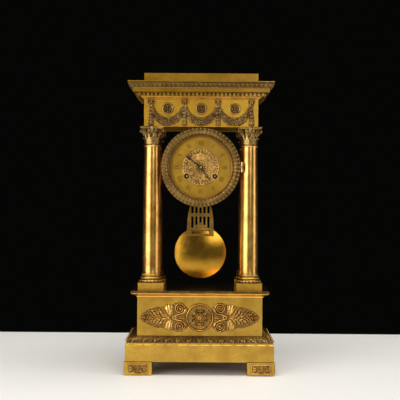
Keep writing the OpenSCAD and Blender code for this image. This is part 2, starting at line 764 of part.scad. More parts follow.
// Cover at the back of the drum: a flat rim and a low dome, on the rear hinge
module rear_cover() {
    back = drum_back + seat;
    rise = 5;
    dome_r = (46 * 46 + rise * rise) / (2 * rise);
    color(gilt) {
        turned([0, 0], concat([[0, back + 1.2 + rise - 1.2], [0, back + 1.2 + rise]],
            [for (i = [1:6]) let (r = 46 * i / 6) [r,
                back + 1.2 + rise - dome_r + sqrt(dome_r * dome_r - r * r)]],
            [[drum_r + 0.5, back + 1.2], [drum_r + 0.5, back], [45, back]],
            [for (i = [5:-1:1]) let (r = 46 * i / 6) [r,
                back + rise - dome_r + sqrt(dome_r * dome_r - r * r)]]));
        translate([drum_r - 2, back, z_dial - knuckle_h / 2 + fit])
            cube([rear_hinge[0] - drum_r + 2 - pin_r - 0.3, 1.6, knuckle_h - 2 * fit]);
        knuckle(rear_hinge[0], rear_hinge[1], -knuckle_h / 2 + fit, knuckle_h / 2 - fit, pin_r + fit);
    }
}

// Cast leaf bezel with the rabbet for the glass and its knuckle at the right
module bezel_ring() {
    rabbet_r = sight_r + 2.9;
    leaves = 60;
    color(gilt) {
        turned([0, 0], concat([[rabbet_r, bezel_back], [bezel_r - 4.5, bezel_back], [bezel_r - 3.5,
            bezel_back - 2.5],
            [bezel_r, bezel_back - 4.5], [bezel_r, bezel_back - 6.2]],
            [for (i = [0:6]) let (a = 15 + i * 25)
                [(bezel_r + rabbet_r) / 2 + (bezel_r - rabbet_r) / 2 * cos(a),
                    bezel_front + 3.1 - 3.1 * sin(a)]],
            [[rabbet_r, bezel_front + 2.4]]));
        for (i = [0:leaves - 1]) translate([0, 0, z_dial]) rotate([0, i * 360 / leaves, 0]) {
            translate([0, bezel_front + 1.5, bezel_r - 1.9]) sphere(r = 1.5);
            translate([0, bezel_front + 1.2, rabbet_r + 2]) cylinder(r1 = 0.9, r2 = 1.5,
                h = bezel_r - rabbet_r - 5.4);
        }
        translate([bezel_r - 3, hinge_y - knuckle_r * 0.2, z_dial - knuckle_h / 2 + fit])
            cube([hinge_x - bezel_r + 3 - pin_r - 0.3, 1.6, knuckle_h - 2 * fit]);
        knuckle(hinge_x, hinge_y, -knuckle_h / 2 + fit, knuckle_h / 2 - fit, pin_r + fit);
    }
}

// Sloped ring that holds the glass from the front
module sight_ring() {
    rabbet_r = sight_r + 2.9;
    color(gilt) turned([0, 0], [[sight_r, bezel_back - 3.9], [rabbet_r, bezel_back - 3.9], [rabbet_r,
        bezel_front + 1.8],
        [rabbet_r - 0.8, bezel_front + 1.6], [sight_r + 0.6, bezel_back - 5.2], [sight_r, bezel_back - 5]]);
}

module bezel_glass() {
    edge_r = sight_r + 2.8;
    rise = 4.6;
    dome_r = (edge_r * edge_r + rise * rise) / (2 * rise);
    t = 1.2;
    outer = bezel_back - 3.2;
    color("lightcyan", 0.4) turned([0, 0], concat(
        [for (i = [0:8]) let (r = edge_r * i / 8) [r,
            outer - rise + dome_r - sqrt(dome_r * dome_r - r * r)]],
        [for (i = [8:-1:0]) let (r = edge_r * i / 8) [r,
            outer + t - rise + dome_r - sqrt(dome_r * dome_r - r * r)]]));
}

numerals = ["XII", "I", "II", "III", "IIII", "V", "VI", "VII", "VIII", "IX", "X", "XI"];
function stroke_w(c) = c == "I" ? 2 : 4.6;
function width_of(word, n) = n == 0 ? 0 : stroke_w(word[n - 1]) + width_of(word, n - 1);

module numeral_stroke(c, h) {
    if (c == "I") {
        translate([0.5, 0]) square([1, h]);
    }
    if (c == "V") {
        polygon([[1.9, 0], [2.7, 0], [1.5, h], [0.3, h]]);
        polygon([[2.1, 0], [2.6, 0], [4.3, h], [3.8, h]]);
    }
    if (c == "X") {
        polygon([[3.1, 0], [4.3, 0], [1.5, h], [0.3, h]]);
        polygon([[0.3, 0], [0.8, 0], [4.3, h], [3.8, h]]);
    }
}

// Numerals and minute track, all read from the centre outwards
module dial_engraving() {
    numeral_h = 7.2;
    numeral_at = 34.6;
    track_r = 46;
    for (i = [0:11]) rotate(-i * 30) for (k = [0:len(numerals[i]) - 1])
        translate([width_of(numerals[i], k) - width_of(numerals[i], len(numerals[i])) / 2, numeral_at])
            numeral_stroke(numerals[i][k], numeral_h);
    for (i = [0:59]) rotate(i * 6) translate([-0.2, track_r - 1]) square([0.4, i % 5 == 0 ? 2.4 : 1.6]);
}

// Dial with its feet on the front plate
module dial() {
    engraved = 0.15;
    color(gilt) {
        difference() {
            between(dial_face, dial_back) difference() {
                circle(r = dial_r, $fn = 96);
                circle(r = dial_hole_r);
                for (p = [going_at, strike_at]) at(p) circle(r = winding_hole_r);
            }
            between(dial_face - 1, dial_face + engraved) dial_engraving();
        }
        for (a = [80, 205, 335]) rod(polar(plate_r - 4.5, a), 1.5, dial_back - 0.2, front_plate_y);
    }
}

module dial_centre() {
    disc_r = 29.5;
    color(gilt) between(dial_face - 0.8, dial_face) difference() {
        circle(r = disc_r, $fn = 96);
        circle(r = 5);
        for (p = [going_at, strike_at]) at(p) circle(r = winding_hole_r);
        for (i = [0:11]) rotate(i * 30 + 15) translate([0, 13]) rotate(90) leaf_outline(8.4, 5, 2);
        for (i = [0:23]) rotate(i * 15) translate([0, 25.2]) circle(r = 1.1);
        for (i = [0:11]) rotate(i * 30) translate([0, 9]) circle(r = 1.4);
    }
}

// Hand with a ring near its tip
module hand(reach, ring_at, ring_r, boss, hole) {
    difference() {
        union() {
            circle(r = boss);
            polygon([[1, 0], [0.5, ring_at - ring_r + 0.3], [-0.5, ring_at - ring_r + 0.3], [-1, 0]]);
            translate([0, ring_at]) circle(r = ring_r);
            polygon([[0.9, ring_at + ring_r - 0.4], [0, reach], [-0.9, ring_at + ring_r - 0.4]]);
        }
        circle(r = hole);
        translate([0, ring_at]) circle(r = ring_r - 1);
    }
}

minute_turn = 308;
hour_turn = 145.7;

module minute_hand() {
    color(blued) between(dial_face - 4.5, dial_face - 3.8) rotate(-minute_turn) hand(33, 23.5, 2.4, 2.8,
        centre_r + fit);
}

module hour_hand() {
    color(blued) between(dial_face - 2.2, dial_face - 1.4) rotate(-hour_turn) hand(25.7, 16.5, 2.6,
        pipe_r + 1.4, pipe_r + fit);
}

// Pinion and pipe that carry the minute hand; the arbor of the centre wheel runs through it
module cannon_pinion() {
    color(steel) difference() {
        union() {
            between(motion_y, front_plate_y - 0.4) leaf_teeth(cannon_teeth, cannon_mod, 0);
            rod(centre_at, cannon_r, dial_face - 3.8, motion_y + 0.5);
        }
        rod(centre_at, centre_r + fit, dial_face - 5, front_plate_y);
    }
}

module minute_wheel() {
    color(brass) difference() {
        union() {
            between(motion_y, motion_y + 1) at(minute_at)
                crossed(pitch_r(minute_teeth, cannon_mod) - 0.6, 1.4, 2.6) wheel_teeth(minute_teeth,
                    cannon_mod, phi_minute);
            between(hour_y - 0.2, motion_y) at(minute_at) leaf_teeth(minute_leaves, hour_mod, phi_minute);
        }
        rod(minute_at, post_r + fit, hour_y - 1, front_plate_y);
    }
}

module hour_wheel() {
    color(brass) difference() {
        union() {
            between(hour_y, hour_y + 1) crossed(pitch_r(hour_teeth, hour_mod) - 0.6, 1.4, 3.2)
                wheel_teeth(hour_teeth, hour_mod, phi_hour);
            rod(centre_at, pipe_r, dial_face - 2.4, hour_y + 0.5);
        }
        rod(centre_at, cannon_r + fit, dial_face - 3, hour_y + 2);
    }
}

// Bores that the pivots of both plates share
module pivot_holes() {
    for (p = [int_at, third_at, second_at, pin_at, hammer_at]) at(p) circle(r = pivot_r + fit);
    for (p = pillar_at) at(p) circle(r = 1.2);
}

module front_plate() {
    color(brass) {
        between(front_plate_y, front_plate_y + plate_t) difference() {
            circle(r = plate_r, $fn = 96);
            pivot_holes();
            circle(r = centre_r + fit);
            for (p = [going_at, strike_at]) at(p) circle(r = winding_r + fit);
            for (p = [escape_at, pivot_at]) at(p) circle(r = pivot_r + fit);
        }
        rod(minute_at, post_r, hour_y - 0.6, front_plate_y + 0.2);
    }
}

screw_at = [plate_r - 5.5, -16.5];

module back_plate() {
    color(brass) between(back_plate_y, back_plate_rear) difference() {
        circle(r = plate_r, $fn = 96);
        difference() {
            pivot_holes();
            for (p = [second_at, hammer_at]) at(p) circle(r = 1);
        }
        for (p = [second_at, hammer_at]) at(p) circle(r = post_r + fit);
        for (p = [escape_at, centre_at]) at(p) circle(r = pivot_r + fit);
        at(pivot_at) circle(r = 2.4);
        for (p = [going_at, strike_at]) at(p) circle(r = rear_winding_r + fit);
        for (s = [-1, 1]) at([s * screw_at[0], screw_at[1]]) circle(r = 1.2);
    }
}

module pillars() {
    color(brass) for (p = pillar_at) {
        rod(p, pillar_r, front_plate_y + plate_t, back_plate_y);
        rod(p, 1.2, front_plate_y - 0.4, back_plate_rear + 0.4);
    }
}

// Angle straps from the back plate to the wall of the drum
module movement_straps() {
    inner = drum_r - drum_wall;
    color(steel) {
        between(back_plate_rear, back_plate_rear + 1.5) for (s = [0, 1]) mirror([s, 0]) difference() {
            intersection() {
                translate([screw_at[0] - 3.5, screw_at[1] - 3.5]) square([drum_r, 7]);
                circle(r = inner, $fn = 96);
            }
            at(screw_at) circle(r = 1.2);
        }
        between(back_plate_rear - 8, back_plate_rear + 1.5) for (s = [0, 1]) mirror([s, 0]) intersection() {
            difference() {
                circle(r = inner, $fn = 96);
                circle(r = inner - 1.5, $fn = 96);
            }
            translate([plate_r, screw_at[1] - 3.5]) square([drum_r, 7]);
        }
    }
}

module strap_screws() {
    color(steel) for (s = [-1, 1]) {
        p = [s * screw_at[0], screw_at[1]];
        rod(p, 1.2, back_plate_y + 0.2, back_plate_rear + 1.6);
        rod(p, 2.4, back_plate_rear + 1.5, back_plate_rear + 2.8);
    }
}

module barrel(p) {
    color(brass) difference() {
        union() {
            rod(p, pitch_r(barrel_teeth, barrel_mod) - 1.6, barrel_y, barrel_rear);
            between(barrel_y, barrel_y + 2) at(p) wheel_teeth(barrel_teeth, barrel_mod, 0);
        }
        rod(p, winding_r + fit, barrel_y - 1, barrel_rear + 1);
    }
}

module going_barrel() { barrel(going_at); }
module strike_barrel() { barrel(strike_at); }

// Squared winding arbor through the dial, with its ratchet wheel in front of the plate
module winding_arbor(p) {
    square_w = 3;
    teeth = 18;
    outer = 6;
    color(steel) {
        rod(p, winding_r, motion_y - 1.4, back_plate_y - 0.4);
        rod(p, rear_winding_r, back_plate_y - 0.5, back_plate_rear);
        between(dial_face - 0.6, motion_y - 1.3) at(p) square(square_w, center = true);
        between(motion_y + 0.2, front_plate_y - 0.3) at(p) polygon([for (i = [0:teeth - 1])
            let (a = i * 360 / teeth) each [polar(outer, a), polar(outer - 1, a + 1)]]);
    }
}

module going_winding_arbor() { winding_arbor(going_at); }
module strike_winding_arbor() { winding_arbor(strike_at); }

// A wheel and the pinion that drives it, on one arbor
module wheel_and_pinion(p, teeth, mod, phi, wheel_y, leaves, leaf_mod, pinion_y, pinion_l) {
    between(wheel_y, wheel_y + 0.9) at(p) crossed(pitch_r(teeth, mod) - 0.6, 1.4, 2) wheel_teeth(teeth,
        mod, phi);
    between(pinion_y, pinion_y + pinion_l) at(p) leaf_teeth(leaves, leaf_mod, phi);
    arbor(p);
}

module intermediate_wheel() {
    color(brass) wheel_and_pinion(int_at, int_teeth, int_mod, phi_int, lead_y, int_pinion, barrel_mod,
        barrel_y - 0.6, 3.2);
}

// The centre arbor goes forward through the cannon pinion to the nut of the minute hand
module centre_wheel() {
    color(brass) {
        between(rear_y, rear_y + 0.9) crossed(pitch_r(centre_teeth, centre_mod) - 0.6, 1.4, 2)
            wheel_teeth(centre_teeth, centre_mod, phi_centre);
        between(lead_y - 0.5, lead_y + 1.6) leaf_teeth(centre_leaves, int_mod, phi_centre);
        rod(centre_at, centre_r, dial_face - 5.2, back_plate_y - 0.3);
        rod(centre_at, pivot_r, back_plate_y - 0.4, back_plate_rear - 0.2);
        rod(centre_at, 1.8, dial_face - 5.4, dial_face - 4.5);
    }
}

module third_wheel() {
    color(brass) wheel_and_pinion(third_at, third_teeth, third_mod, phi_third, third_y, third_leaves,
        centre_mod, rear_y - 0.8, 2.6);
}

module escape_wheel() {
    color(brass) {
        between(escape_y, escape_y + 0.9) at(escape_at) crossed(escape_r - 1.8, 1.2, 1.8) polygon([
            for (i = [0:escape_teeth - 1]) let (a = phi_escape + i * 360 / escape_teeth)
                each [polar(escape_r - 1.7, a - 3), polar(escape_r, a), polar(escape_r - 1.7, a + 1)]]);
        between(third_y - 0.7, third_y + 1.7) at(escape_at) leaf_teeth(escape_leaves, third_mod,
            phi_escape);
        rod(escape_at, pivot_r, front_plate_y + 0.2, back_plate_rear - 0.2);
        rod(escape_at, post_r, front_plate_y + plate_t + 0.3, third_y - 0.7);
        rod(escape_at, post_r, third_y + 1.7, back_plate_y - 0.3);
    }
}

// Recoil anchor between the plates, on an arbor that carries the crutch behind the cock
module anchor_and_crutch() {
    span = 46;
    gap = 0.9;
    fork = pendulum_rod_r + 0.15;
    color(steel) {
        between(escape_y - 0.1, escape_y + 1) {
            at(escape_at) {
                intersection() {
                    difference() {
                        circle(r = escape_r + 3.4);
                        circle(r = escape_r + 1.8);
                    }
                    polygon([[0, 0], polar(30, 90 - span), [0, 40], polar(30, 90 + span)]);
                }
                for (s = [-1, 1]) polygon([polar(escape_r + gap, 90 + s * span),
                    polar(escape_r + 3.2, 90 + s * (span + 1)),
                    polar(escape_r + 3.2, 90 + s * (span - 9)),
                        polar(escape_r + 1.8, 90 + s * (span - 7))]);
            }
            at(pivot_at) circle(r = 2.6);
        }
        rod(pivot_at, pivot_r, front_plate_y + 0.2, cock_y + cock_t + 0.6);
        rod(pivot_at, post_r, front_plate_y + plate_t + 0.3, cock_y - 0.2);
        between(crutch_y, crutch_y + 1) {
            at(pivot_at) circle(r = 1.8);
            translate([-1, crutch_low]) square([2, pivot_up - crutch_low]);
            translate([-fork - 1.2, crutch_low]) square([2 * fork + 2.4, 2]);
        }
        between(crutch_y, pendulum_y + 2) for (s = [-1, 1]) translate([s * (fork + 0.5) - 0.5,
            crutch_low]) square([1, 2]);
    }
}

cock_y = back_plate_rear + 3.5;
cock_t = 1.5;
crutch_y = cock_y + cock_t + 0.3;
crutch_low = 10;
pendulum_rod_r = 1.1;
chops = 0.15;

// Cock on the back plate: rear bearing of the anchor, and the chops that hold the suspension spring
module suspension_cock() {
    color(brass) {
        difference() {
            between(cock_y, cock_y + cock_t) translate([-11, pivot_up - 4]) square([22, 11]);
            rod(pivot_at, pivot_r + fit, cock_y - 1, cock_y + cock_t + 1);
        }
        for (s = [-1, 1]) rod([s * 9, pivot_up], 1.8, back_plate_rear, cock_y);
        between(cock_y, pendulum_y + 3) translate([-4, pivot_up + 4]) square([8, 3]);
        between(pendulum_y - 1.5, pendulum_y + 1.5) translate([-2, pivot_up + chops]) square([4, 4]);
    }
}

bob_z = z_dial + pivot_up - pendulum_l;
grid_y = pendulum_y - 6;
grid_foot = 27.7;
bob_rim = 0.8;
bob_face = bob_t / 2 - bob_rim;
lens_r = (bob_r * bob_r + bob_face * bob_face) / (2 * bob_face);
function bob_half(r) = bob_t / 2 - lens_r + sqrt(lens_r * lens_r - r * r);
bob_y = grid_y + grid_t + bob_half(grid_foot) + 0.1;
grid_top = 79;

// Suspension spring, hook and rod down to the clip of the gridiron
module pendulum_rod() {
    clip_w = 6;
    top = bob_z + grid_top;
    color(steel) {
        translate([-0.1, pendulum_y - 2, z_dial + pivot_up - 8]) cube([0.2, 4, 7.95]);
        translate([-1.5, pendulum_y - 2, z_dial + pivot_up - 12]) cube([3, 4, 4.2]);
        translate([0, pendulum_y, top - 5]) cylinder(r = pendulum_rod_r,
            h = z_dial + pivot_up - 11 - top + 5);
        translate([-clip_w / 2, grid_y + grid_t, top - 5.5]) cube([clip_w,
            pendulum_y + 2 - grid_y - grid_t, 4]);
    }
}

// Gridiron frame in front of the rod: two flared sides, crossbars and two rows of bars
module pendulum_grid() {
    inner = 15;
    pitch = 6.5;
    bar = 2.8;
    function g(z) = grid_foot + z;
    color(gilt) {
        translate([0, grid_y + grid_t, bob_z]) rotate([90, 0, 0]) linear_extrude(grid_t) {
            for (s = [-1, 1]) polygon([[s * inner, grid_foot], [s * grid_w / 2, grid_foot],
                [s * (grid_w / 2 - 0.2), g(12)],
                [s * (grid_w / 2 - 1), g(26)], [s * (grid_w / 2 - 2.4), g(38)], [s * (grid_w / 2 - 4.2),
                    g(46)],
                [s * (grid_w / 2 - 7), grid_top], [s * inner, grid_top]]);
            translate([-inner - 1, grid_foot]) square([2 * inner + 2, 2.8]);
            translate([-inner - 1, g(9.1)]) square([2 * inner + 2, 3.6]);
            translate([-inner + 3.7, g(13.4)]) square([2 * inner - 7.4, 4.2]);
            translate([-inner - 1, g(31)]) square([2 * inner + 2, 5.5]);
            translate([-inner - 1, grid_top - 3]) square([2 * inner + 2, 3]);
            for (x = [-1.5:1:1.5]) translate([x * pitch - bar / 2, g(12)]) square([bar,
                grid_top - grid_foot - 13]);
        }
        translate([-2.2, grid_y + grid_t, bob_z + g(18)]) cube([4.4, bob_y + 2 - grid_y - grid_t, 3]);
        translate([0, bob_y, bob_z + bob_r - 3]) cylinder(r = 1, h = g(19) - bob_r + 3);
    }
}

// Lens-shaped bob with a blind hole for the threaded stud
module pendulum_bob() {
    color(gilt) difference() {
        intersection() {
            translate([0, bob_y + lens_r - bob_t / 2, bob_z]) sphere(r = lens_r, $fn = 240);
            translate([0, bob_y - lens_r + bob_t / 2, bob_z]) sphere(r = lens_r, $fn = 240);
            translate([0, bob_y, bob_z]) rotate([90, 0, 0])
                cylinder(r = bob_r, h = bob_t, center = true, $fn = 120);
        }
        translate([0, bob_y, bob_z + bob_r - 4]) cylinder(r = 1 + fit, h = 8);
    }
}

module rating_nut() {
    low = bob_z + bob_r + 0.1;
    color(brass) difference() {
        translate([0, bob_y, low]) cylinder(r = 4, h = 2.6, $fn = 24);
        translate([0, bob_y, low - 1]) cylinder(r = 1 + fit, h = 5);
    }
}

module strike_second_wheel() {
    color(brass) {
        wheel_and_pinion(second_at, int_teeth, int_mod, phi_second, lead_y, int_pinion, barrel_mod,
            barrel_y - 0.6, 3.2);
        rod(second_at, post_r, back_plate_y - 0.4, back_plate_rear + 2.6);
    }
}

// Pins on the rear face of the wheel lift the tail of the hammer
module pin_wheel() {
    r = 8.5;
    pins = 10;
    color(brass) {
        between(pin_y, pin_y + 0.9) at(pin_at) crossed(r, 2, 1.8) circle(r = r);
        for (i = [0:pins - 1]) rod(pin_at + polar(r - 1, i * 360 / pins), 0.45, pin_y + 0.5, pin_y + 3);
        between(lead_y - 0.5, lead_y + 1.6) at(pin_at) leaf_teeth(pin_leaves, int_mod, phi_pin);
        arbor(pin_at);
    }
}

// Locking plate of the strike, with notches at widening steps for one to twelve blows
module count_wheel() {
    r = 17;
    blows = 90;
    function sum_to(h) = h * (h + 1) / 2 + h;
    color(brass) between(back_plate_rear + 0.8, back_plate_rear + 1.8) at(second_at) difference() {
        circle(r = r, $fn = 96);
        circle(r = post_r);
        for (h = [0:11]) rotate(sum_to(h) * 360 / blows) translate([r - 1.6, -0.6]) square([3, 1.2]);
    }
}

bell_at = [0, -6];
bell_r = 30;
stand_at = [14, -20];
bell_mouth = pendulum_y + 6;
bell_crown = bell_mouth + 12;

// Hammer arbor between the plates, with the arm and head behind the movement
module hammer() {
    head_r = 3;
    gap = 0.7;
    arm_y = bell_mouth - 2;
    head = [bell_at[0] - bell_r - gap, bell_at[1]];
    tail = hammer_at + polar(3.6, heading(hammer_at, pin_at));
    color(steel) {
        arbor(hammer_at);
        rod(hammer_at, post_r, back_plate_y - 0.4, arm_y + 1);
        between(pin_y + 1.6, pin_y + 3) hull() {
            at(hammer_at) circle(r = 1.5);
            at(tail) circle(r = 0.5);
        }
        between(arm_y, arm_y + 1.5) {
            at(hammer_at) circle(r = 2.2);
            hull() {
                at(hammer_at) circle(r = 1);
                at(head - [3, 0]) circle(r = 1);
            }
        }
        rod(head - [3, 0], 1.5, arm_y, bell_mouth + 1.5);
        translate([head[0] - 6, bell_mouth + 3, z_dial + head[1]]) rotate([0, 90, 0])
            cylinder(r = head_r, h = 6);
    }
}

module bell() {
    t = 1.3;
    h = bell_crown - bell_mouth;
    color("khaki") turned(bell_at, concat(
        [[1.6, bell_crown], [bell_r * 0.62, bell_crown - 0.6]],
        arc([bell_r * 0.62, bell_crown - h * 0.72], h * 0.67, 80, 10, 4) ,
        [[bell_r, bell_mouth], [bell_r - t, bell_mouth]],
        [for (p = arc([bell_r * 0.62, bell_crown - h * 0.72], h * 0.67 - t, 10, 80, 4)) p],
        [[bell_r * 0.62, bell_crown - 0.6 - t], [1.6, bell_crown - t]]));
}

// Post and arm that carry the bell from inside its mouth
module bell_stand() {
    arm_y = bell_mouth + 3;
    color(steel) {
        rod(stand_at, 2.5, back_plate_rear, arm_y + 2);
        between(arm_y, arm_y + 2) hull() {
            at(stand_at) circle(r = 2.5);
            at(bell_at) circle(r = 3.6);
        }
        rod(bell_at, 3, arm_y, bell_crown - 1.35);
        rod(bell_at, 1.5, arm_y, bell_crown + 2.6);
        rod(bell_at, 3, bell_crown, bell_crown + 2);
    }
}

feet();
lower_plinth();
base_leaf_moulding();
pedestal_die();
pedestal_mount();
pedestal_top();
column_bases();
column_shaft_front_left();
column_shaft_front_right();
column_shaft_rear_left();
column_shaft_rear_right();
capital_front_left();
capital_front_right();
capital_rear_left();
capital_rear_right();
tie_rods();
entablature_frieze();
frieze_swags();
frieze_rosettes();
dentil_moulding();
cornice();
attic_block();
drum_hanger();
drum_case();
rear_cover();
bezel_ring();
sight_ring();
bezel_glass();
dial();
dial_centre();
minute_hand();
hour_hand();
cannon_pinion();
minute_wheel();
hour_wheel();
front_plate();
back_plate();
pillars();
movement_straps();
strap_screws();
going_barrel();
going_winding_arbor();
intermediate_wheel();
centre_wheel();
third_wheel();
escape_wheel();
anchor_and_crutch();
suspension_cock();
pendulum_rod();
pendulum_grid();
pendulum_bob();
rating_nut();
strike_barrel();
strike_winding_arbor();
strike_second_wheel();
pin_wheel();
count_wheel();
hammer();
bell();
bell_stand();
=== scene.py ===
import json
import math

import bpy
import numpy as np
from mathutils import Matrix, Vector

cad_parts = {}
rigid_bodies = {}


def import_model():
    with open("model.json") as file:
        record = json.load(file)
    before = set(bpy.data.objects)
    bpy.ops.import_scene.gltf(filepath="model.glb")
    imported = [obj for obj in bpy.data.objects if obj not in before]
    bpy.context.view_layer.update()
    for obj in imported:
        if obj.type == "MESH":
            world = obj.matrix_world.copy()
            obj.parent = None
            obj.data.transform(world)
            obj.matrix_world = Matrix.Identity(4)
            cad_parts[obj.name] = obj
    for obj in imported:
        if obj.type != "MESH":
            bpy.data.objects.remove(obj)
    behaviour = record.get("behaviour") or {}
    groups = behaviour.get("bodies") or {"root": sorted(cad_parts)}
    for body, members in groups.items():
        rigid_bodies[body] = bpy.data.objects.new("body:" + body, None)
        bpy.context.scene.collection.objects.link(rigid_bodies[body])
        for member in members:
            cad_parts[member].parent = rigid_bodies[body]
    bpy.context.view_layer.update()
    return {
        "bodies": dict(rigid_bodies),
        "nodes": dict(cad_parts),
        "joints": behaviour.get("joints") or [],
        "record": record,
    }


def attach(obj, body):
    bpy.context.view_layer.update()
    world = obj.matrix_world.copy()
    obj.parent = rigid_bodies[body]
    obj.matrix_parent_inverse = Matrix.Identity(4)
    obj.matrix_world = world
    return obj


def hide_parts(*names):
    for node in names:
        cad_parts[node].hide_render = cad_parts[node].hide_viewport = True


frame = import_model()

MM = 0.001
rng = np.random.default_rng(7)

# Boxes of the CAD nodes in millimetres, which the ornament is fitted to
LOW, HIGH = {}, {}
for node_name, node in frame["nodes"].items():
    corners = np.array([node.matrix_world @ Vector(corner) for corner in node.bound_box]) / MM
    LOW[node_name], HIGH[node_name] = corners.min(axis=0).round(3), corners.max(axis=0).round(3)


def middle(name):
    """The middle of a node's box."""
    return ((LOW[name] + HIGH[name]) / 2).round(3)


def foot_of(name):
    """The middle of the bottom of a node's box."""
    return np.array([*middle(name)[:2], LOW[name][2]])


COLUMNS = ("front_left", "rear_left", "front_right", "rear_right")
Z_DIAL, DIAL_FACE = middle("dial")[2], LOW["dial"][1]
BEZEL_FRONT = DIAL_FACE - 10.8
WIND_X, _, WIND_Z = middle("going_winding_arbor")


def polar(r, angle):
    """The point at a radius and an angle in degrees."""
    a = math.radians(angle)
    return r * math.cos(a), r * math.sin(a)


# Materials

def principled(name, colour, metallic=0.0, roughness=0.5, ior=1.5):
    """A new material with its node tree and its Principled node."""
    mat = bpy.data.materials.new(name)
    mat.use_nodes = True
    bsdf = mat.node_tree.nodes["Principled BSDF"]
    bsdf.inputs["Base Color"].default_value = (*colour, 1)
    bsdf.inputs["Metallic"].default_value = metallic
    bsdf.inputs["Roughness"].default_value = roughness
    bsdf.inputs["IOR"].default_value = ior
    return mat, mat.node_tree, bsdf


def noise(tree, scale, detail, rough, stretch=(1, 1, 1)):
    """Noise over object coordinates, scale in cycles a metre."""
    coord = tree.nodes.new("ShaderNodeTexCoord")
    place = tree.nodes.new("ShaderNodeMapping")
    place.inputs["Scale"].default_value = stretch
    tree.links.new(coord.outputs["Object"], place.inputs["Vector"])
    tex = tree.nodes.new("ShaderNodeTexNoise")
    tex.inputs["Scale"].default_value = scale
    tex.inputs["Detail"].default_value = detail
    tex.inputs["Roughness"].default_value = rough
    tree.links.new(place.outputs["Vector"], tex.inputs["Vector"])
    return tex.outputs["Fac"]


def ramp(tree, source, stops):
    """Colour ramp over a socket; each stop is a place with a grey or a colour."""
    node = tree.nodes.new("ShaderNodeValToRGB")
    cr = node.color_ramp
    while len(cr.elements) < len(stops):
        cr.elements.new(0.5)
    for element, (place, value) in zip(cr.elements, stops):
        element.position = place
        element.color = (*value, 1) if isinstance(value, tuple) else (value, value, value, 1)
    tree.links.new(source, node.inputs["Fac"])
    return node.outputs["Color"]


def mix(tree, fac, a, b):
    """Mixes two colours, each a tuple or a socket, by a factor's socket."""
    node = tree.nodes.new("ShaderNodeMix")
    node.data_type = "RGBA"
    tree.links.new(fac, node.inputs["Factor"])
    colours = {s.name: s for s in node.inputs if s.type == "RGBA"}
    for name, value in (("A", a), ("B", b)):
        if isinstance(value, tuple):
            colours[name].default_value = (*value, 1)
        else:
            tree.links.new(value, colours[name])
    return next(s for s in node.outputs if s.type == "RGBA")


def calc(tree, operation, *values):
    """Math node over sockets and numbers."""
    node = tree.nodes.new("ShaderNodeMath")
    node.operation = operation
    for socket, value in zip(node.inputs, values):
        if isinstance(value, float):
            socket.default_value = value
        else:
            tree.links.new(value, socket)
    return node.outputs[0]


def calc_vector(tree, operation, source, constant=(0, 0, 0)):
    """Vector Math node over a socket and a constant."""
    node = tree.nodes.new("ShaderNodeVectorMath")
    node.operation = operation
    tree.links.new(source, node.inputs[0])
    node.inputs[1].default_value = constant
    return node.outputs["Value" if operation == "LENGTH" else "Vector"]


def between(tree, source, start, end):
    """Goes from 0 to 1 as the source goes from start to end."""
    node = tree.nodes.new("ShaderNodeMapRange")
    node.inputs["From Min"].default_value = start
    node.inputs["From Max"].default_value = end
    tree.links.new(source, node.inputs["Value"])
    return node.outputs["Result"]


def mix_shader(tree, fac, a, b):
    """Mixes two shaders' sockets by a factor's socket."""
    node = tree.nodes.new("ShaderNodeMixShader")
    for socket, source in zip(node.inputs, (fac, a, b)):
        tree.links.new(source, socket)
    return node.outputs["Shader"]


def bump(tree, bsdf, height, distance):
    """Bump by a height from 0 to 1 over a distance in millimetres."""
    node = tree.nodes.new("ShaderNodeBump")
    node.inputs["Distance"].default_value = distance * MM
    tree.links.new(height, node.inputs["Height"])
    tree.links.new(node.outputs["Normal"], bsdf.inputs["Normal"])


# Scales of the gilding's wear in cycles a metre, and the limits on the "cavity" attribute over which raised
# tips take the painted highlight
PATCHES, SPOTS, SHINE = 38, 520, 90
HIGHLIGHT_START, HIGHLIGHT_FULL = -0.06, -0.45
DIRT_ROUGHER = 0.25
LACQUER_IOR, LACQUER_ROUGHNESS = 1.9, 0.24


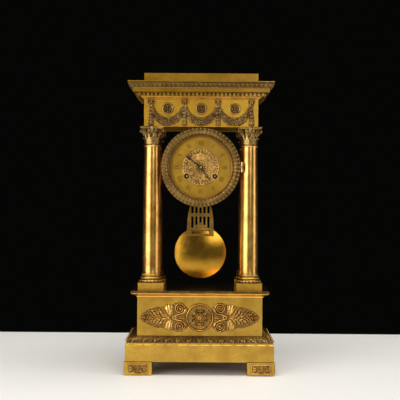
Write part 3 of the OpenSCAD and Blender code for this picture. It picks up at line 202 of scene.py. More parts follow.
def gilt(name, light, dark, recess_dirt_and_shade, rough, grain, crevice, stretch=(1, 1, 1), relief=0.06,
         tip_highlight=(0.98, 0.74, 0.36), lacquer=0.15):
    """Fire-gilt bronze: worn patches of two golds, brown dirt and painted shade in the recesses and corners,
    a painted highlight on raised tips, and a cast or brushed grain.

    rough is the lowest and highest roughness, grain is in cycles a metre, crevice (the reach of the painted
    shade in corners) and relief in millimetres.
    """
    mat, tree, bsdf = principled(name, light, metallic=1.0)
    patch = ramp(tree, noise(tree, PATCHES, 6, 0.62), [(0.36, dark), (0.6, light)])
    spots = ramp(tree, noise(tree, SPOTS, 3, 0.7), [(0.28, 0.0), (0.4, 1.0)])
    worn = mix(tree, spots, tuple(c * 0.55 for c in dark), patch)
    hollow = tree.nodes.new("ShaderNodeAttribute")
    hollow.attribute_name = "cavity"
    occlusion = tree.nodes.new("ShaderNodeAmbientOcclusion")
    occlusion.samples = 6
    occlusion.inputs["Distance"].default_value = crevice * MM
    # painted shade in corners and crevices, from ambient occlusion, joined with the dirt and painted shade of
    # the hollows
    corners = ramp(tree, occlusion.outputs["AO"], [(0.3, 1.0), (0.82, 0.0)])
    dirt_and_shade = calc(tree, "MAXIMUM", hollow.outputs["Fac"], corners)
    # painted highlight on raised tips, where the cavity falls below zero
    highlighted = mix(tree, between(tree, hollow.outputs["Fac"], HIGHLIGHT_START, HIGHLIGHT_FULL), worn, tip_highlight)
    tree.links.new(mix(tree, dirt_and_shade, highlighted, recess_dirt_and_shade), bsdf.inputs["Base Color"])
    shine = ramp(tree, noise(tree, SHINE, 5, 0.6), [(0.3, rough[0]), (0.7, rough[1])])
    tree.links.new(calc(tree, "MULTIPLY_ADD", dirt_and_shade, DIRT_ROUGHER, shine), bsdf.inputs["Roughness"])
    bump(tree, bsdf, noise(tree, grain, 5, 0.6, stretch), relief)
    bsdf.inputs["Coat Weight"].default_value = lacquer
    bsdf.inputs["Coat IOR"].default_value = LACQUER_IOR
    bsdf.inputs["Coat Roughness"].default_value = LACQUER_ROUGHNESS
    return mat


def flatten(mat, share):
    """Shades a domed face as a flatter one: the slopes against the piece's own Y axis count by this share."""
    tree = mat.node_tree
    bsdf = tree.nodes["Principled BSDF"]
    normal = bsdf.inputs["Normal"].links[0].from_socket

    def change(source, old, new):
        node = tree.nodes.new("ShaderNodeVectorTransform")
        node.vector_type = "NORMAL"
        node.convert_from, node.convert_to = old, new
        tree.links.new(source, node.inputs["Vector"])
        return node.outputs["Vector"]

    own = calc_vector(tree, "MULTIPLY", change(normal, "WORLD", "OBJECT"), (share, 1, share))
    tree.links.new(change(own, "OBJECT", "WORLD"), bsdf.inputs["Normal"])


# Dirt and painted shade for hollows and corners, from brown to nearly black, and the grain of rolled and
# brushed sheet
GRIME_AND_SHADE, UMBER_AND_SHADE = (0.06, 0.027, 0.006), (0.02, 0.010, 0.004)
SOOT_AND_SHADE, SHADE = (0.020, 0.009, 0.003), (0.012, 0.006, 0.002)
SHEET = dict(grain=900, stretch=(0.2, 1, 1), relief=0.04)

flat_gilt = gilt("gilt_flat", (0.69, 0.42, 0.058), (0.54, 0.30, 0.036), GRIME_AND_SHADE, (0.36, 0.46),
                 crevice=2.2, **SHEET)
# darker copy of the flat gilt for the cornice and attic: painted shade on the top of the clock
shaded_top_gilt = gilt("gilt_entablature_shaded", (0.50, 0.27, 0.024), (0.38, 0.20, 0.015), GRIME_AND_SHADE, (0.36, 0.46),
                 crevice=2.4, **SHEET)
# lighter copy of the flat gilt for the frieze: painted light
lit_frieze_gilt = gilt("gilt_frieze_lit", (0.84, 0.49, 0.050), (0.69, 0.38, 0.036), GRIME_AND_SHADE, (0.36, 0.46),
                   crevice=2.4, **SHEET)
dentil_gilt = gilt("gilt_dentils", (0.70, 0.39, 0.06), (0.54, 0.28, 0.04), SHADE, (0.3, 0.42), 900, 12.0,
                   relief=0.04)
# its third colour, like the others', is the dirt and painted shade of its hollows
cast_gilt = gilt("gilt_cast", (0.76, 0.44, 0.10), (0.50, 0.27, 0.06), (0.024, 0.011, 0.004), (0.22, 0.34),
                 1500, 1.8)
swag_gilt = gilt("gilt_swags", (0.54, 0.33, 0.085), (0.34, 0.19, 0.045), SOOT_AND_SHADE, (0.24, 0.36), 1500, 2.2,
                 tip_highlight=(1.0, 0.82, 0.50), lacquer=0.4)
column_gilt = gilt("gilt_column", (0.88, 0.48, 0.085), (0.48, 0.23, 0.026), GRIME_AND_SHADE, (0.27, 0.36), 420, 1.6,
                   relief=0.01, lacquer=0.55)
bright_gilt = gilt("gilt_polished", (0.90, 0.54, 0.09), (0.82, 0.45, 0.065), GRIME_AND_SHADE, (0.13, 0.2), 1200, 1.5,
                   relief=0.02, lacquer=0.5)
bob_gilt = gilt("gilt_bob", (0.66, 0.36, 0.04), (0.54, 0.27, 0.028), GRIME_AND_SHADE, (0.2, 0.27), 1200, 1.0,
                relief=0.01, lacquer=0.0)
flatten(bob_gilt, 0.62)
brown_gilt = gilt("gilt_brown", (0.36, 0.22, 0.052), (0.23, 0.125, 0.026), SOOT_AND_SHADE, (0.26, 0.4), 1500, 1.8)
dark_gilt = gilt("gilt_worn", (0.56, 0.33, 0.075), (0.38, 0.20, 0.04), UMBER_AND_SHADE, (0.28, 0.42), 1300, 1.6)
dial_gilt = gilt("gilt_dial", (0.42, 0.24, 0.026), (0.33, 0.18, 0.019), GRIME_AND_SHADE, (0.36, 0.44), 2600, 0.15,
                 relief=0.03)
shaded_gilt = gilt("gilt_shaded", (0.36, 0.20, 0.045), (0.22, 0.11, 0.025), UMBER_AND_SHADE, (0.34, 0.46), 1300, 2.4)


def turned_metal(name, colour, rough):
    """Metal left from the lathe, with darker patches and fine turning marks."""
    mat, tree, bsdf = principled(name, colour, metallic=1.0, roughness=rough)
    tone = ramp(tree, noise(tree, 160, 4, 0.6), [(0.3, tuple(c * 0.7 for c in colour)), (0.65, colour)])
    shine = ramp(tree, noise(tree, 420, 3, 0.6), [(0.3, rough * 0.8), (0.7, min(1.0, rough * 1.25))])
    tree.links.new(tone, bsdf.inputs["Base Color"])
    tree.links.new(shine, bsdf.inputs["Roughness"])
    bump(tree, bsdf, noise(tree, 1400, 4, 0.6, (0.15, 1, 1)), 0.02)
    return mat


def squared_steel(name, axis):
    """Steel with a painted highlight on the tip's middle and nearly black painted shade round it; axis is a
    point of its axis as the piece sees it.
    """
    mat, tree, bsdf = principled(name, (0.6, 0.57, 0.5), metallic=1.0, roughness=0.3)
    here = tree.nodes.new("ShaderNodeTexCoord").outputs["Object"]
    away = calc_vector(tree, "MULTIPLY", calc_vector(tree, "SUBTRACT", here, axis), (1, 0, 1))
    shade_rim = between(tree, calc_vector(tree, "LENGTH", away), 0.9 * MM, 1.3 * MM)
    # painted highlight within about a millimetre of the axis, painted shade of the winding hole beyond
    tree.links.new(mix(tree, shade_rim, (0.75, 0.72, 0.62), (0.03, 0.027, 0.024)), bsdf.inputs["Base Color"])
    tree.links.new(ramp(tree, noise(tree, 420, 3, 0.6), [(0.3, 0.24), (0.7, 0.4)]), bsdf.inputs["Roughness"])
    return mat


def clear_glass():
    """Glass that casts no shadow, so that the lamps shine through it to the dial."""
    mat, tree, bsdf = principled("glass", (1, 1, 1), roughness=0.02, ior=1.05)
    bsdf.inputs["Transmission Weight"].default_value = 1.0
    bsdf.inputs["Specular IOR Level"].default_value = 0.12
    tree.links.new(ramp(tree, noise(tree, 60, 2, 0.5), [(0.3, 0.01), (0.7, 0.03)]), bsdf.inputs["Roughness"])
    shadow = tree.nodes.new("ShaderNodeLightPath").outputs["Is Shadow Ray"]
    clear = tree.nodes.new("ShaderNodeBsdfTransparent").outputs["BSDF"]
    shader = mix_shader(tree, shadow, bsdf.outputs["BSDF"], clear)
    tree.links.new(shader, tree.nodes["Material Output"].inputs["Surface"])
    return mat


brass = turned_metal("brass", (0.78, 0.52, 0.19), 0.3)
steel = turned_metal("steel", (0.58, 0.55, 0.50), 0.3)
blued = turned_metal("blued_steel", (0.024, 0.026, 0.042), 0.3)
bell_metal = turned_metal("bell_metal", (0.72, 0.55, 0.33), 0.24)
ink = turned_metal("engraving_wax", (0.16, 0.09, 0.016), 0.42)
# black for the washers that stand as painted shade in the winding holes
shade_black = turned_metal("painted_shade_black", (0.012, 0.010, 0.008), 0.6)
glass = clear_glass()

LOOK = {
    "feet": flat_gilt, "lower_plinth": flat_gilt, "base_leaf_moulding": cast_gilt, "pedestal_die": flat_gilt,
    "pedestal_mount": cast_gilt, "pedestal_top": bright_gilt, "column_bases": flat_gilt,
    "entablature_frieze": lit_frieze_gilt, "frieze_swags": cast_gilt, "frieze_rosettes": cast_gilt,
    "dentil_moulding": dentil_gilt, "cornice": shaded_top_gilt, "attic_block": shaded_top_gilt,
    "bezel_ring": brown_gilt, "sight_ring": shaded_gilt, "bezel_glass": glass,
    "dial": dial_gilt, "dial_centre": cast_gilt,
    "minute_hand": blued, "hour_hand": blued, "cannon_pinion": blued,
    "pendulum_grid": dark_gilt, "pendulum_bob": bob_gilt, "pendulum_rod": steel, "anchor_and_crutch": steel,
    "tie_rods": steel, "strap_screws": steel, "hammer": steel, "bell_stand": steel, "bell": bell_metal,
}
for node_name, node in frame["nodes"].items():
    look = LOOK.get(node_name, brass)
    if node_name.startswith("column_shaft"):
        look = column_gilt
    if node_name.startswith("capital"):
        look = shaded_gilt
    if node_name.endswith("winding_arbor"):
        axis = node.matrix_world.inverted() @ Vector(middle(node_name) * (MM, 0, MM))
        look = squared_steel(node_name + "_steel", axis)
    node.data.materials.clear()
    node.data.materials.append(look)


# Relief

class Canvas:
    """A drawing in heights over a rectangle of a surface, in millimetres."""

    def __init__(self, x0, x1, y0, y1, step):
        self.x = np.linspace(x0, x1, round((x1 - x0) / step) + 1)
        self.y = np.linspace(y0, y1, round((y1 - y0) / step) + 1)
        self.H = np.zeros((len(self.x), len(self.y)))

    def near(self, cx, cy, r):
        """The window within r of a point, with its coordinates from that point."""
        i = slice(np.searchsorted(self.x, cx - r), np.searchsorted(self.x, cx + r) + 1)
        j = slice(np.searchsorted(self.y, cy - r), np.searchsorted(self.y, cy + r) + 1)
        X, Y = np.meshgrid(self.x[i] - cx, self.y[j] - cy, indexing="ij")
        return (i, j), X, Y

    def put(self, window, h):
        """Raises the window to h where it is lower."""
        self.H[window] = np.maximum(self.H[window], h)

    def dome(self, cx, cy, r, h):
        window, X, Y = self.near(cx, cy, r)
        self.put(window, h * np.sqrt(np.clip(1 - (X * X + Y * Y) / (r * r), 0, 1)))

    def ring(self, cx, cy, r, half, h):
        window, X, Y = self.near(cx, cy, r + half)
        self.put(window, h * np.sqrt(np.clip(1 - ((np.hypot(X, Y) - r) / half) ** 2, 0, 1)))

    def stroke(self, points, r0, r1, h0, h1):
        """A round bar along the points, from one radius and height to another."""
        points = np.asarray(points, float)
        run = np.concatenate([[0], np.cumsum(np.hypot(*np.diff(points, axis=0).T))])
        count = max(2, int(run[-1] / (0.3 * min(r0, r1) + 0.15)))
        for t in np.linspace(0, 1, count):
            place = [np.interp(t * run[-1], run, points[:, k]) for k in (0, 1)]
            self.dome(*place, r0 + (r1 - r0) * t, h0 + (h1 - h0) * t)

    def spiral(self, cx, cy, r, start, turns, half, h, eye=0.3):
        """A volute that winds in from its start angle in degrees; negative turns wind clockwise."""
        t = np.linspace(0, 1, 46)
        a = np.radians(start) + 2 * np.pi * turns * t
        d = r * (1 - t) ** 0.8 * (1 - eye) + r * eye * (1 - 0.5 * t)
        self.stroke(np.c_[cx + d * np.cos(a), cy + d * np.sin(a)], half, half * 0.6, h, h * 0.8)
        self.dome(cx, cy, r * eye, h * 1.05)

    def leaf(self, bx, by, angle, length, width, h, lobes=4, bend=0.0, notch=0.3):
        """A veined leaf with lobed edges from its base along an angle in degrees."""
        a = math.radians(angle)
        mx, my = bx + math.cos(a) * length / 2, by + math.sin(a) * length / 2
        window, X, Y = self.near(mx, my, length / 2 + width + abs(bend))
        u = (X * math.cos(a) + Y * math.sin(a)) / length + 0.5
        s = -X * math.sin(a) + Y * math.cos(a) - bend * 4 * u * (1 - u)
        inside = (u > 0) & (u < 1)
        uc = np.clip(u, 0.001, 0.999)
        scallop = 1 - notch * (0.5 + 0.5 * np.cos(2 * np.pi * lobes * uc))
        edge = width / 2 * np.sin(np.pi * uc ** 0.7) ** 0.75 * scallop
        q = s / np.maximum(edge, 1e-3)
        body = np.sqrt(np.clip(1 - q * q, 0, 1)) * (0.55 + 0.45 * np.sin(np.pi * uc))
        midrib = 0.35 * np.exp(-(s / (0.09 * width)) ** 2)
        veins = 0.16 * np.cos(2 * np.pi * lobes * (uc - 0.35 * np.abs(q))) ** 2
        height = h * np.clip(body - (midrib + veins), 0.12, 1)
        self.put(window, np.where(inside & (np.abs(q) < 1), height, 0))

    def flower(self, cx, cy, r, h, petals, turn=0.0):
        for k in range(petals):
            dx, dy = polar(r * 0.6, turn + k * 360 / petals)
            self.dome(cx + dx, cy + dy, r * 0.38, h * 0.8)
        self.dome(cx, cy, r * 0.3, h)

    def mirrored(self, both=True):
        """The drawing reflected about x = 0, and about y = 0 as well unless both is False."""
        H = np.concatenate([self.H[:0:-1], self.H])
        x = np.concatenate([-self.x[:0:-1], self.x])
        if both:
            H = np.concatenate([H[:, :0:-1], H], axis=1)
            return x, np.concatenate([-self.y[:0:-1], self.y]), H
        return x, self.y, H


def blur(H, cells, wrap):
    """Mean over a square of 2 * cells + 1; wrap joins the first axis's ends."""
    n = 2 * cells + 1
    for axis in (0, 1):
        mode = "wrap" if wrap and axis == 0 else "edge"
        pad = [(cells, cells) if axis == a else (0, 0) for a in (0, 1)]
        total = np.cumsum(np.insert(np.pad(H, pad, mode=mode), 0, 0, axis=axis), axis=axis)
        size = total.shape[axis]
        H = (np.take(total, range(n, size), axis=axis) - np.take(total, range(size - n), axis=axis)) / n
    return H


def no_corner_contacts(keep):
    """Fills cells so that no two kept cells meet at a corner alone."""
    for _ in range(12):
        a, b, c, d = keep[:-1, :-1], keep[1:, :-1], keep[:-1, 1:], keep[1:, 1:]
        one, two = a & d & ~b & ~c, b & c & ~a & ~d
        if not (one.any() or two.any()):
            break
        keep[1:, :-1] |= one
        keep[:-1, :-1] |= two
    return keep


SKIN = 0.02  # least height of a relief in millimetres, and the height of plain turned surfaces
CAVITY_GAIN = 2.2  # what the attribute "cavity" makes of a hollow as deep as the relief
SHARP = 55  # degrees between two faces from which their edge is shaded sharp


class Shell:
    """Closed relief meshes gathered into one piece."""

    def __init__(self):
        self.points, self.quads, self.hollow, self.count = [], [], [], 0

    def add(self, H, P, N, back=0.4, keep=None, whole=False, wrap=False, depth=0.8, cells=2, level=0.0):
        """H is the height over the base points P along the normals N, in mm; the back lies under the base.

        keep marks the cells that are made; without it they are those with some height, or all if whole.
        wrap joins the first axis's ends. The attribute "cavity" compares the height with its mean over some
        cells to each side, as a share of depth, and counts what lies under level as hollow.
        """
        nx, ny = H.shape
        if whole:
            keep = np.ones((nx if wrap else nx - 1, ny - 1), bool)
        elif keep is None:
            keep = np.maximum(np.maximum(H[:-1, :-1], H[1:, :-1]), np.maximum(H[:-1, 1:], H[1:, 1:])) > SKIN
        keep = no_corner_contacts(keep.copy())
        idx = np.arange(nx * ny).reshape(nx, ny)
        if wrap:
            idx = np.concatenate([idx, idx[:1]])
        a, b, c, d = idx[:-1, :-1], idx[1:, :-1], idx[1:, 1:], idx[:-1, 1:]
        none_x, none_y = np.zeros((1, keep.shape[1]), bool), np.zeros((keep.shape[0], 1), bool)
        before = np.concatenate([keep[-1:] if wrap else none_x, keep[:-1]])
        after = np.concatenate([keep[1:], keep[:1] if wrap else none_x])
        under = np.concatenate([none_y, keep[:, :-1]], axis=1)
        over = np.concatenate([keep[:, 1:], none_y], axis=1)
        walls = [(d, a, before), (b, c, after), (a, b, under), (c, d, over)]
        # the faces turn round where the grid runs the other way about its normals
        grid, middle = P.reshape(nx, ny, 3), nx // 2
        along = grid[min(nx - 1, middle + 1)] - grid[middle]
        across = np.gradient(grid[middle], axis=0)
        if np.einsum("ij,ij->", np.cross(along, across), N.reshape(nx, ny, 3)[middle]) < 0:
            b, d = d, b
            walls = [(q, p, beyond) for p, q, beyond in walls]
        off = nx * ny
        quads = [np.stack([v[keep] for v in (a, b, c, d)], axis=1)]
        quads.append(np.stack([v[keep] + off for v in (d, c, b, a)], axis=1))
        for p, q, beyond in walls:
            edge = keep & ~beyond
            quads.append(np.stack([q[edge], p[edge], p[edge] + off, q[edge] + off], axis=1))
        top = P.reshape(-1, 3) + N.reshape(-1, 3) * H.reshape(-1, 1)
        low = P.reshape(-1, 3) - N.reshape(-1, 3) * back
        # the gilt darkens what is hollow here as dirt and painted shade, and lightens the raised tips, below
        # zero, as a painted highlight
        hollow = np.clip((blur(H, cells, wrap) - H) / depth * CAVITY_GAIN, -1, 1)
        # low ground under level counts as hollow, so it takes the painted shade
        if level:
            hollow = np.maximum(hollow, np.clip(1 - H / level, 0, 1))
        hollow = hollow.reshape(-1)
        used, quads = np.unique(np.concatenate(quads), return_inverse=True)
        self.points.append(np.concatenate([top, low])[used])
        self.hollow.append(np.concatenate([hollow, hollow * 0])[used])
        self.quads.append(quads.reshape(-1, 4) + self.count)
        self.count += len(used)

    def add_turned(self, profile, sides, back):
        """A plain surface turned about the upright axis, from [radius, height] points up the outside."""
        r, z = np.array(profile, float).T
        a = np.linspace(0, 2 * np.pi, sides, endpoint=False)[:, None]
        P = np.stack([r * np.cos(a), r * np.sin(a), z + 0 * a], axis=-1)
        N = np.stack([np.cos(a) + 0 * r, np.sin(a) + 0 * r, 0 * a + 0 * r], axis=-1)
        self.add(np.full(P.shape[:2], SKIN), P, N, back=back, whole=True, wrap=True)

    def make(self, name, mat, body="root", slot="gilt_bronze", replaces=(), shift=(0, 0, 0)):
        points = (np.concatenate(self.points) + np.array(shift)) * MM
        quads = np.concatenate(self.quads).astype(np.int32)
        mesh = bpy.data.meshes.new(name)
        mesh.vertices.add(len(points))
        mesh.vertices.foreach_set("co", points.astype(np.float32).ravel())
        mesh.loops.add(quads.size)
        mesh.loops.foreach_set("vertex_index", quads.ravel())
        mesh.polygons.add(len(quads))
        mesh.polygons.foreach_set("loop_start", np.arange(0, quads.size, 4, dtype=np.int32))
        mesh.update(calc_edges=True)
        cavity = mesh.attributes.new("cavity", "FLOAT", "POINT")
        cavity.data.foreach_set("value", np.concatenate(self.hollow).astype(np.float32))
        mesh.shade_smooth()
        mesh.set_sharp_from_angle(angle=math.radians(SHARP))
        mesh.validate()
        obj = put_in(name, mesh, mat, body)
        if replaces:
            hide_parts(*replaces)


def put_in(name, mesh, mat, body):
    """Makes the mesh a piece that rides on the body."""
    mesh.materials.append(mat)
    obj = bpy.data.objects.new(name, mesh)
    bpy.context.scene.collection.objects.link(obj)
    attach(obj, body)
    return obj


def on_front(x, z, y):
    """Base points and normals of a plane that faces the front."""
    X, Z = np.meshgrid(x, z, indexing="ij")
    return np.stack([X, np.full_like(X, y), Z], axis=-1), np.broadcast_to([0.0, -1.0, 0.0], X.shape + (3,))


# Mount on the pedestal

def pedestal_mount():
    """Rosette with scrolls, wing petals and a leafy spray to each side; one quarter is drawn and mirrored."""
    c = Canvas(0, 94, 0, 24, 0.4)
    # low ground inside the foliage's outline, darkened as painted shade
    X, Y = np.meshgrid(c.x, c.y, indexing="ij")
    outline = np.interp(X, [18, 22, 28, 35, 40, 43, 48, 55, 58, 66, 77, 86, 91, 93],
                        [13, 17, 22.6, 22.8, 19.5, 15, 19, 17.5, 15.6, 16.2, 12.8, 8.2, 4.4, 0])
    c.H = np.where(Y < outline, 0.35, 0.0)
    c.H = np.where(np.hypot(X, Y) < 20.6, 0.5, c.H)
    c.ring(0, 0, 20.3, 1.35, 3.3)
    for k in range(26):
        c.dome(*polar(17.2, k * 360 / 26), 1.15, 2.2)
    c.ring(0, 0, 5.6, 0.8, 2.4)
    c.flower(0, 0, 4.3, 2.9, 6)
    for k in range(8):
        a = k * 45 + 22.5
        c.spiral(*polar(10.6, a), 3.5, a + 150, 1.5, 0.8, 2.9)
        c.leaf(*polar(6.4, a - 18), a - 30, 9.0, 3.0, 2.5, 3, bend=-1.0)
    # great scrolls by the rosette
    c.stroke([(39, 2.6), (34, 4.6), (28.6, 5.4), (24.4, 8.4), (22.9, 13)], 1.5, 1.4, 2.6, 2.9)
    c.spiral(31.6, 14.0, 8.0, 170, -2.1, 1.25, 3.3, eye=0.22)
    c.leaf(25.0, 5.0, 108, 13.0, 4.0, 2.4, 4, bend=1.8)
    c.leaf(36.0, 20.4, -10, 6.4, 3.2, 2.4, 2)
    c.leaf(22.6, 0.6, 8, 13.6, 3.8, 2.6, 4)
    c.leaf(23.0, 3.6, 40, 7.0, 2.6, 2.2, 2)
    # bud, plain petals that open like wings, and the beads about them
    c.flower(39.6, 0, 4.4, 3.6, 8)
    for x, y in ((44.6, 1.5), (35.0, 2.9), (40.0, 6.0), (43.6, 5.6)):
        c.dome(x, y, 1.2, 2.6)
    c.leaf(50.4, 20.2, 256, 18.4, 11.5, 2.7, 1, notch=0.0)
    c.stroke([(42.6, 4.8), (43.6, 11), (43.4, 16.8)], 0.9, 1.3, 2.2, 2.9)
    c.dome(43.2, 18.0, 1.7, 2.9)
    # leafy spray that narrows to the point
    c.leaf(45.6, 0.5, 12, 17, 4.6, 3.0, 4)
    for x, a, length, width in (
            (52.5, 66, 15.0, 4.8), (57.0, 58, 16.4, 5.0), (62.4, 55, 14.8, 4.8), (67.6, 52, 13.2, 4.5),
            (72.6, 50, 11.2, 4.1), (77.4, 48, 9.2, 3.7), (81.8, 46, 7.0, 3.2), (85.8, 44, 4.8, 2.6)):
        c.leaf(x, 0.9, a, length, width, 3.1, 3, bend=0.7)
        c.leaf(x + 1.8, 0.6, a - 34, length * 0.52, width * 0.62, 2.5, 2)
    for x, r in ((60.8, 4.6), (69.6, 4.2), (78.0, 3.2)):
        c.spiral(x + 1.2, r + 1.4, r * 0.72, 230, -1.4, 0.75, 2.9)
    for x, y in ((54.8, 16.4), (60.4, 14.9), (66.6, 14.7), (72.4, 12.6), (77.8, 10.8), (82.8, 8.2),
                 (87.4, 5.4), (57.0, 3.4), (65.2, 2.6), (74.2, 2.0)):
        c.dome(x, y, 1.25, 2.7)
    c.leaf(84, 0, 0, 9.4, 4.4, 3.0, 3)
    x, z, H = c.mirrored()
    shell = Shell()
    face = LOW["pedestal_die"][1]
    shell.add(H, *on_front(x, z + middle("pedestal_mount")[2], face), depth=1.5, level=0.9)
    shell.make("pedestal_mount_cast", cast_gilt, replaces=["pedestal_mount"])


pedestal_mount()


# Swags and rosettes on the frieze

SWAG_STEP, SWAG_SAG = 52.6, 28.0


def frieze_ornament():
    """Fruit swags with drops between them, half drawn and mirrored, and a ringed rosette over each."""
    _, face, bottom = LOW["entablature_frieze"]
    top = HIGH["entablature_frieze"][2]
    c = Canvas(0, 86, bottom + 0.9, top - 0.4, 0.4)
    half = SWAG_STEP / 2 - 1.2

    def line(q):
        """Height of a swag's middle line, for q from -1 to 1 between its knots."""
        return top - 7 - SWAG_SAG * (1 - q * q) ** 0.62

    for centre in (0.0, SWAG_STEP):
        for q in np.linspace(-0.99, 0.99, 60):
            c.dome(centre + half * q, line(q), 2.0 + 4.0 * (1 - q * q), 1.5)
        for q in np.sin(np.linspace(-1.5, 1.5, 46)):
            px, pz = centre + half * q, line(q)
            slope = math.atan2(line(min(q + 0.004, 1)) - line(max(q - 0.004, -1)), 0.008 * half)
            thick = 1.5 + 4.3 * (1 - q * q)
            for off in (-0.95, -0.45, 0.1, 0.6, 1.0):
                d = thick * off + rng.uniform(-0.5, 0.5)
                c.dome(px - math.sin(slope) * d, pz + math.cos(slope) * d, rng.uniform(0.7, 1.3),
                       rng.uniform(2.2, 4.0) * (1 - 0.3 * abs(off)))
        for q in (-0.78, -0.5, -0.2, 0.12, 0.42, 0.72):
            c.flower(centre + half * q, line(q) + rng.uniform(-1, 1), 2.6 + 1.2 * (1 - q * q), 4.4, 5, 90)
        for q in (-0.9, -0.6, -0.32, 0.3, 0.58, 0.9):
            c.leaf(centre + half * q, line(q) - 1.0, -90 + 30 * q, 6.5, 3.4, 3.4, 3)
    for x in (SWAG_STEP / 2, SWAG_STEP * 1.5):
        c.stroke([(x, top - 4), (x, bottom + 3.5)], 0.9, 2.6, 1.4, 1.6)
        for i in range(6):
            z = top - 9.5 - i * 5.0
            size = 0.75 + 0.12 * i
            for turn in (-90, -118, -62):
                c.leaf(x, z + 1.5, turn, 7.4 * size * (1 if turn == -90 else 0.86), 3.6 * size, 3.6, 2)
            for s in (-1, 0, 1):
                c.dome(x + s * 2.0 * size, z - 1.0, 1.05 * size, 3.4)
        c.flower(x, top - 7.6, 3.9, 4.0, 6)
        c.dome(x, top - 2.8, 1.6, 2.6)
        for s in (-1, 1):
            c.ring(x + s * 3.2, top - 3.6, 1.8, 0.8, 2.6)
    x, z, H = c.mirrored(both=False)
    shell = Shell()
    shell.add(H, *on_front(x, z, face), depth=0.9, level=1.3)
    shell.make("frieze_swags_cast", swag_gilt, replaces=["frieze_swags"])

    r = Canvas(-9.2, 9.2, -9.2, 9.2, 0.3)
    r.dome(0, 0, 9.0, 0.01)
    r.ring(0, 0, 7.7, 1.25, 2.6)
    r.ring(0, 0, 5.9, 0.45, 1.4)
    for a in range(0, 360, 45):
        r.leaf(*polar(1.6, a), a, 4.4, 2.5, 2.6, 2)
    r.dome(0, 0, 1.7, 3.2)
    X, Y = np.meshgrid(r.x, r.y, indexing="ij")
    r.H = np.where(np.hypot(X, Y) < 8.0, np.maximum(r.H, 0.6), r.H)
    shell = Shell()
    for i in (-1, 0, 1):
        shell.add(r.H, *on_front(r.x + i * SWAG_STEP, r.y + top - 14.2, face), depth=1.1, level=1.1)
    shell.make("frieze_rosettes_cast", swag_gilt, replaces=["frieze_rosettes"])


frieze_ornament()


# Leaf-cast mouldings

MITRE = 0.015  # share of a side's half length over which its leaves lean into the corner


def moulding(name, block, pitch, tile, profile, replaces=(), **cast):
    """A drawn leaf, repeated over the four mitred sides of the moulding round a block.

    profile gives, over 0 to 1, how far outwards and up the surface lies and the two parts of its normal.
    """
    half_w, half_d, _ = HIGH[block]
    shell, tile = Shell(), leaf_tile(pitch, *tile)
    out, up, n_out, n_up = profile(np.linspace(0, 1, tile.H.shape[1]))
    for side in range(4):
        half, reach = (half_w, half_d) if side % 2 == 0 else (half_d, half_w)
        H = np.tile(tile.H[:-1], (round(2 * half / pitch), 1))
        H = np.concatenate([H, H[:1]])
        s = np.linspace(-1, 1, len(H))[:, None]
        X = s * (half + out)
        Y = -(reach + out) * np.ones_like(s)
        Z = up * np.ones_like(s)
        lean = np.clip((np.abs(s) - (1 - MITRE)) / MITRE, 0, 1) * np.sign(s)
        P = np.stack([X, Y, Z], axis=-1)
        N = np.stack([lean * n_out, -n_out * np.ones_like(s), n_up * np.ones_like(s)], axis=-1)
        c, q = polar(1, 90 * side)
        R = np.array([[c, q, 0], [-q, c, 0], [0, 0, 1]])
        shell.add(H, P @ R, N @ R, whole=True, **cast)
    shell.make(name, brown_gilt, replaces=replaces)


def ogee_profile(out0, out1, z0, z1):
    """The model's double curve from (out0, z0) to (out1, z1)."""
    def at(v):
        out = out0 + (out1 - out0) * (1 - np.cos(np.pi * v)) / 2
        up = z0 + (z1 - z0) * v
        d_out = (out1 - out0) * np.pi * np.sin(np.pi * v) / 2
        size = np.hypot(d_out, z1 - z0)
        return out, up, (z1 - z0) / size, -d_out / size
    return at


def leaf_tile(pitch, length, step, tongue, veins, base):
    """One repeat, tips down: a broad veined leaf, half leaves behind it and a bead at its tip."""
    c = Canvas(-pitch / 2, pitch / 2, 0, length, step)
    c.H += base
    start = 0.94 * length
    for x in (-pitch, 0, pitch):
        c.leaf(x + pitch / 2, start, -90, length * 0.9, pitch * 0.42, tongue * 0.7, 2, notch=0.15)
        c.leaf(x, start, -90, length * 0.93, pitch * 0.74, tongue, veins, notch=0.22)
        c.dome(x, length * 0.1, pitch * 0.13, tongue * 1.15)
    return c


moulding("base_leaf_cast", "pedestal_die", 15.0, (15.6, 0.45, 3.0, 5, 0.2),
         ogee_profile(15.45, 0.3, LOW["base_leaf_moulding"][2] + 0.1, HIGH["base_leaf_moulding"][2] - 0.1),
         ["base_leaf_moulding"], level=1.5, back=2.0, depth=1.3)
moulding("cornice_leaf_cast", "entablature_frieze", 5.75, (9.2, 0.36, 2.3, 2, 0.8),
         ogee_profile(17.9, 23.2, LOW["cornice"][2] + 6.5, HIGH["cornice"][2] - 2.0),
         level=1.9, back=0.35, depth=0.9)


def turned_skin(shell, tile, repeats, ring, centre, axis, **cast):
    """Lays a drawn tile round a turned ring. ring gives (radius, height, n_radius, n_height) from 0 to 1."""
    H = np.tile(tile.H[:-1], (repeats, 1))
    r, h, nr, nh = ring(np.linspace(0, 1, H.shape[1]))
    a = np.linspace(0, 2 * np.pi, len(H), endpoint=False)[:, None]
    if axis == "z":
        P = np.stack([centre[0] + r * np.cos(a), centre[1] + r * np.sin(a), centre[2] + h + 0 * a], axis=-1)
        N = np.stack([nr * np.cos(a), nr * np.sin(a), nh + 0 * a], axis=-1)
    else:
        P = np.stack([centre[0] + r * np.sin(a), centre[1] + h + 0 * a, centre[2] + r * np.cos(a)], axis=-1)
        N = np.stack([nr * np.sin(a), nh + 0 * a, nr * np.cos(a)], axis=-1)
    shell.add(H, P, N, back=0.3, whole=True, wrap=True, **cast)


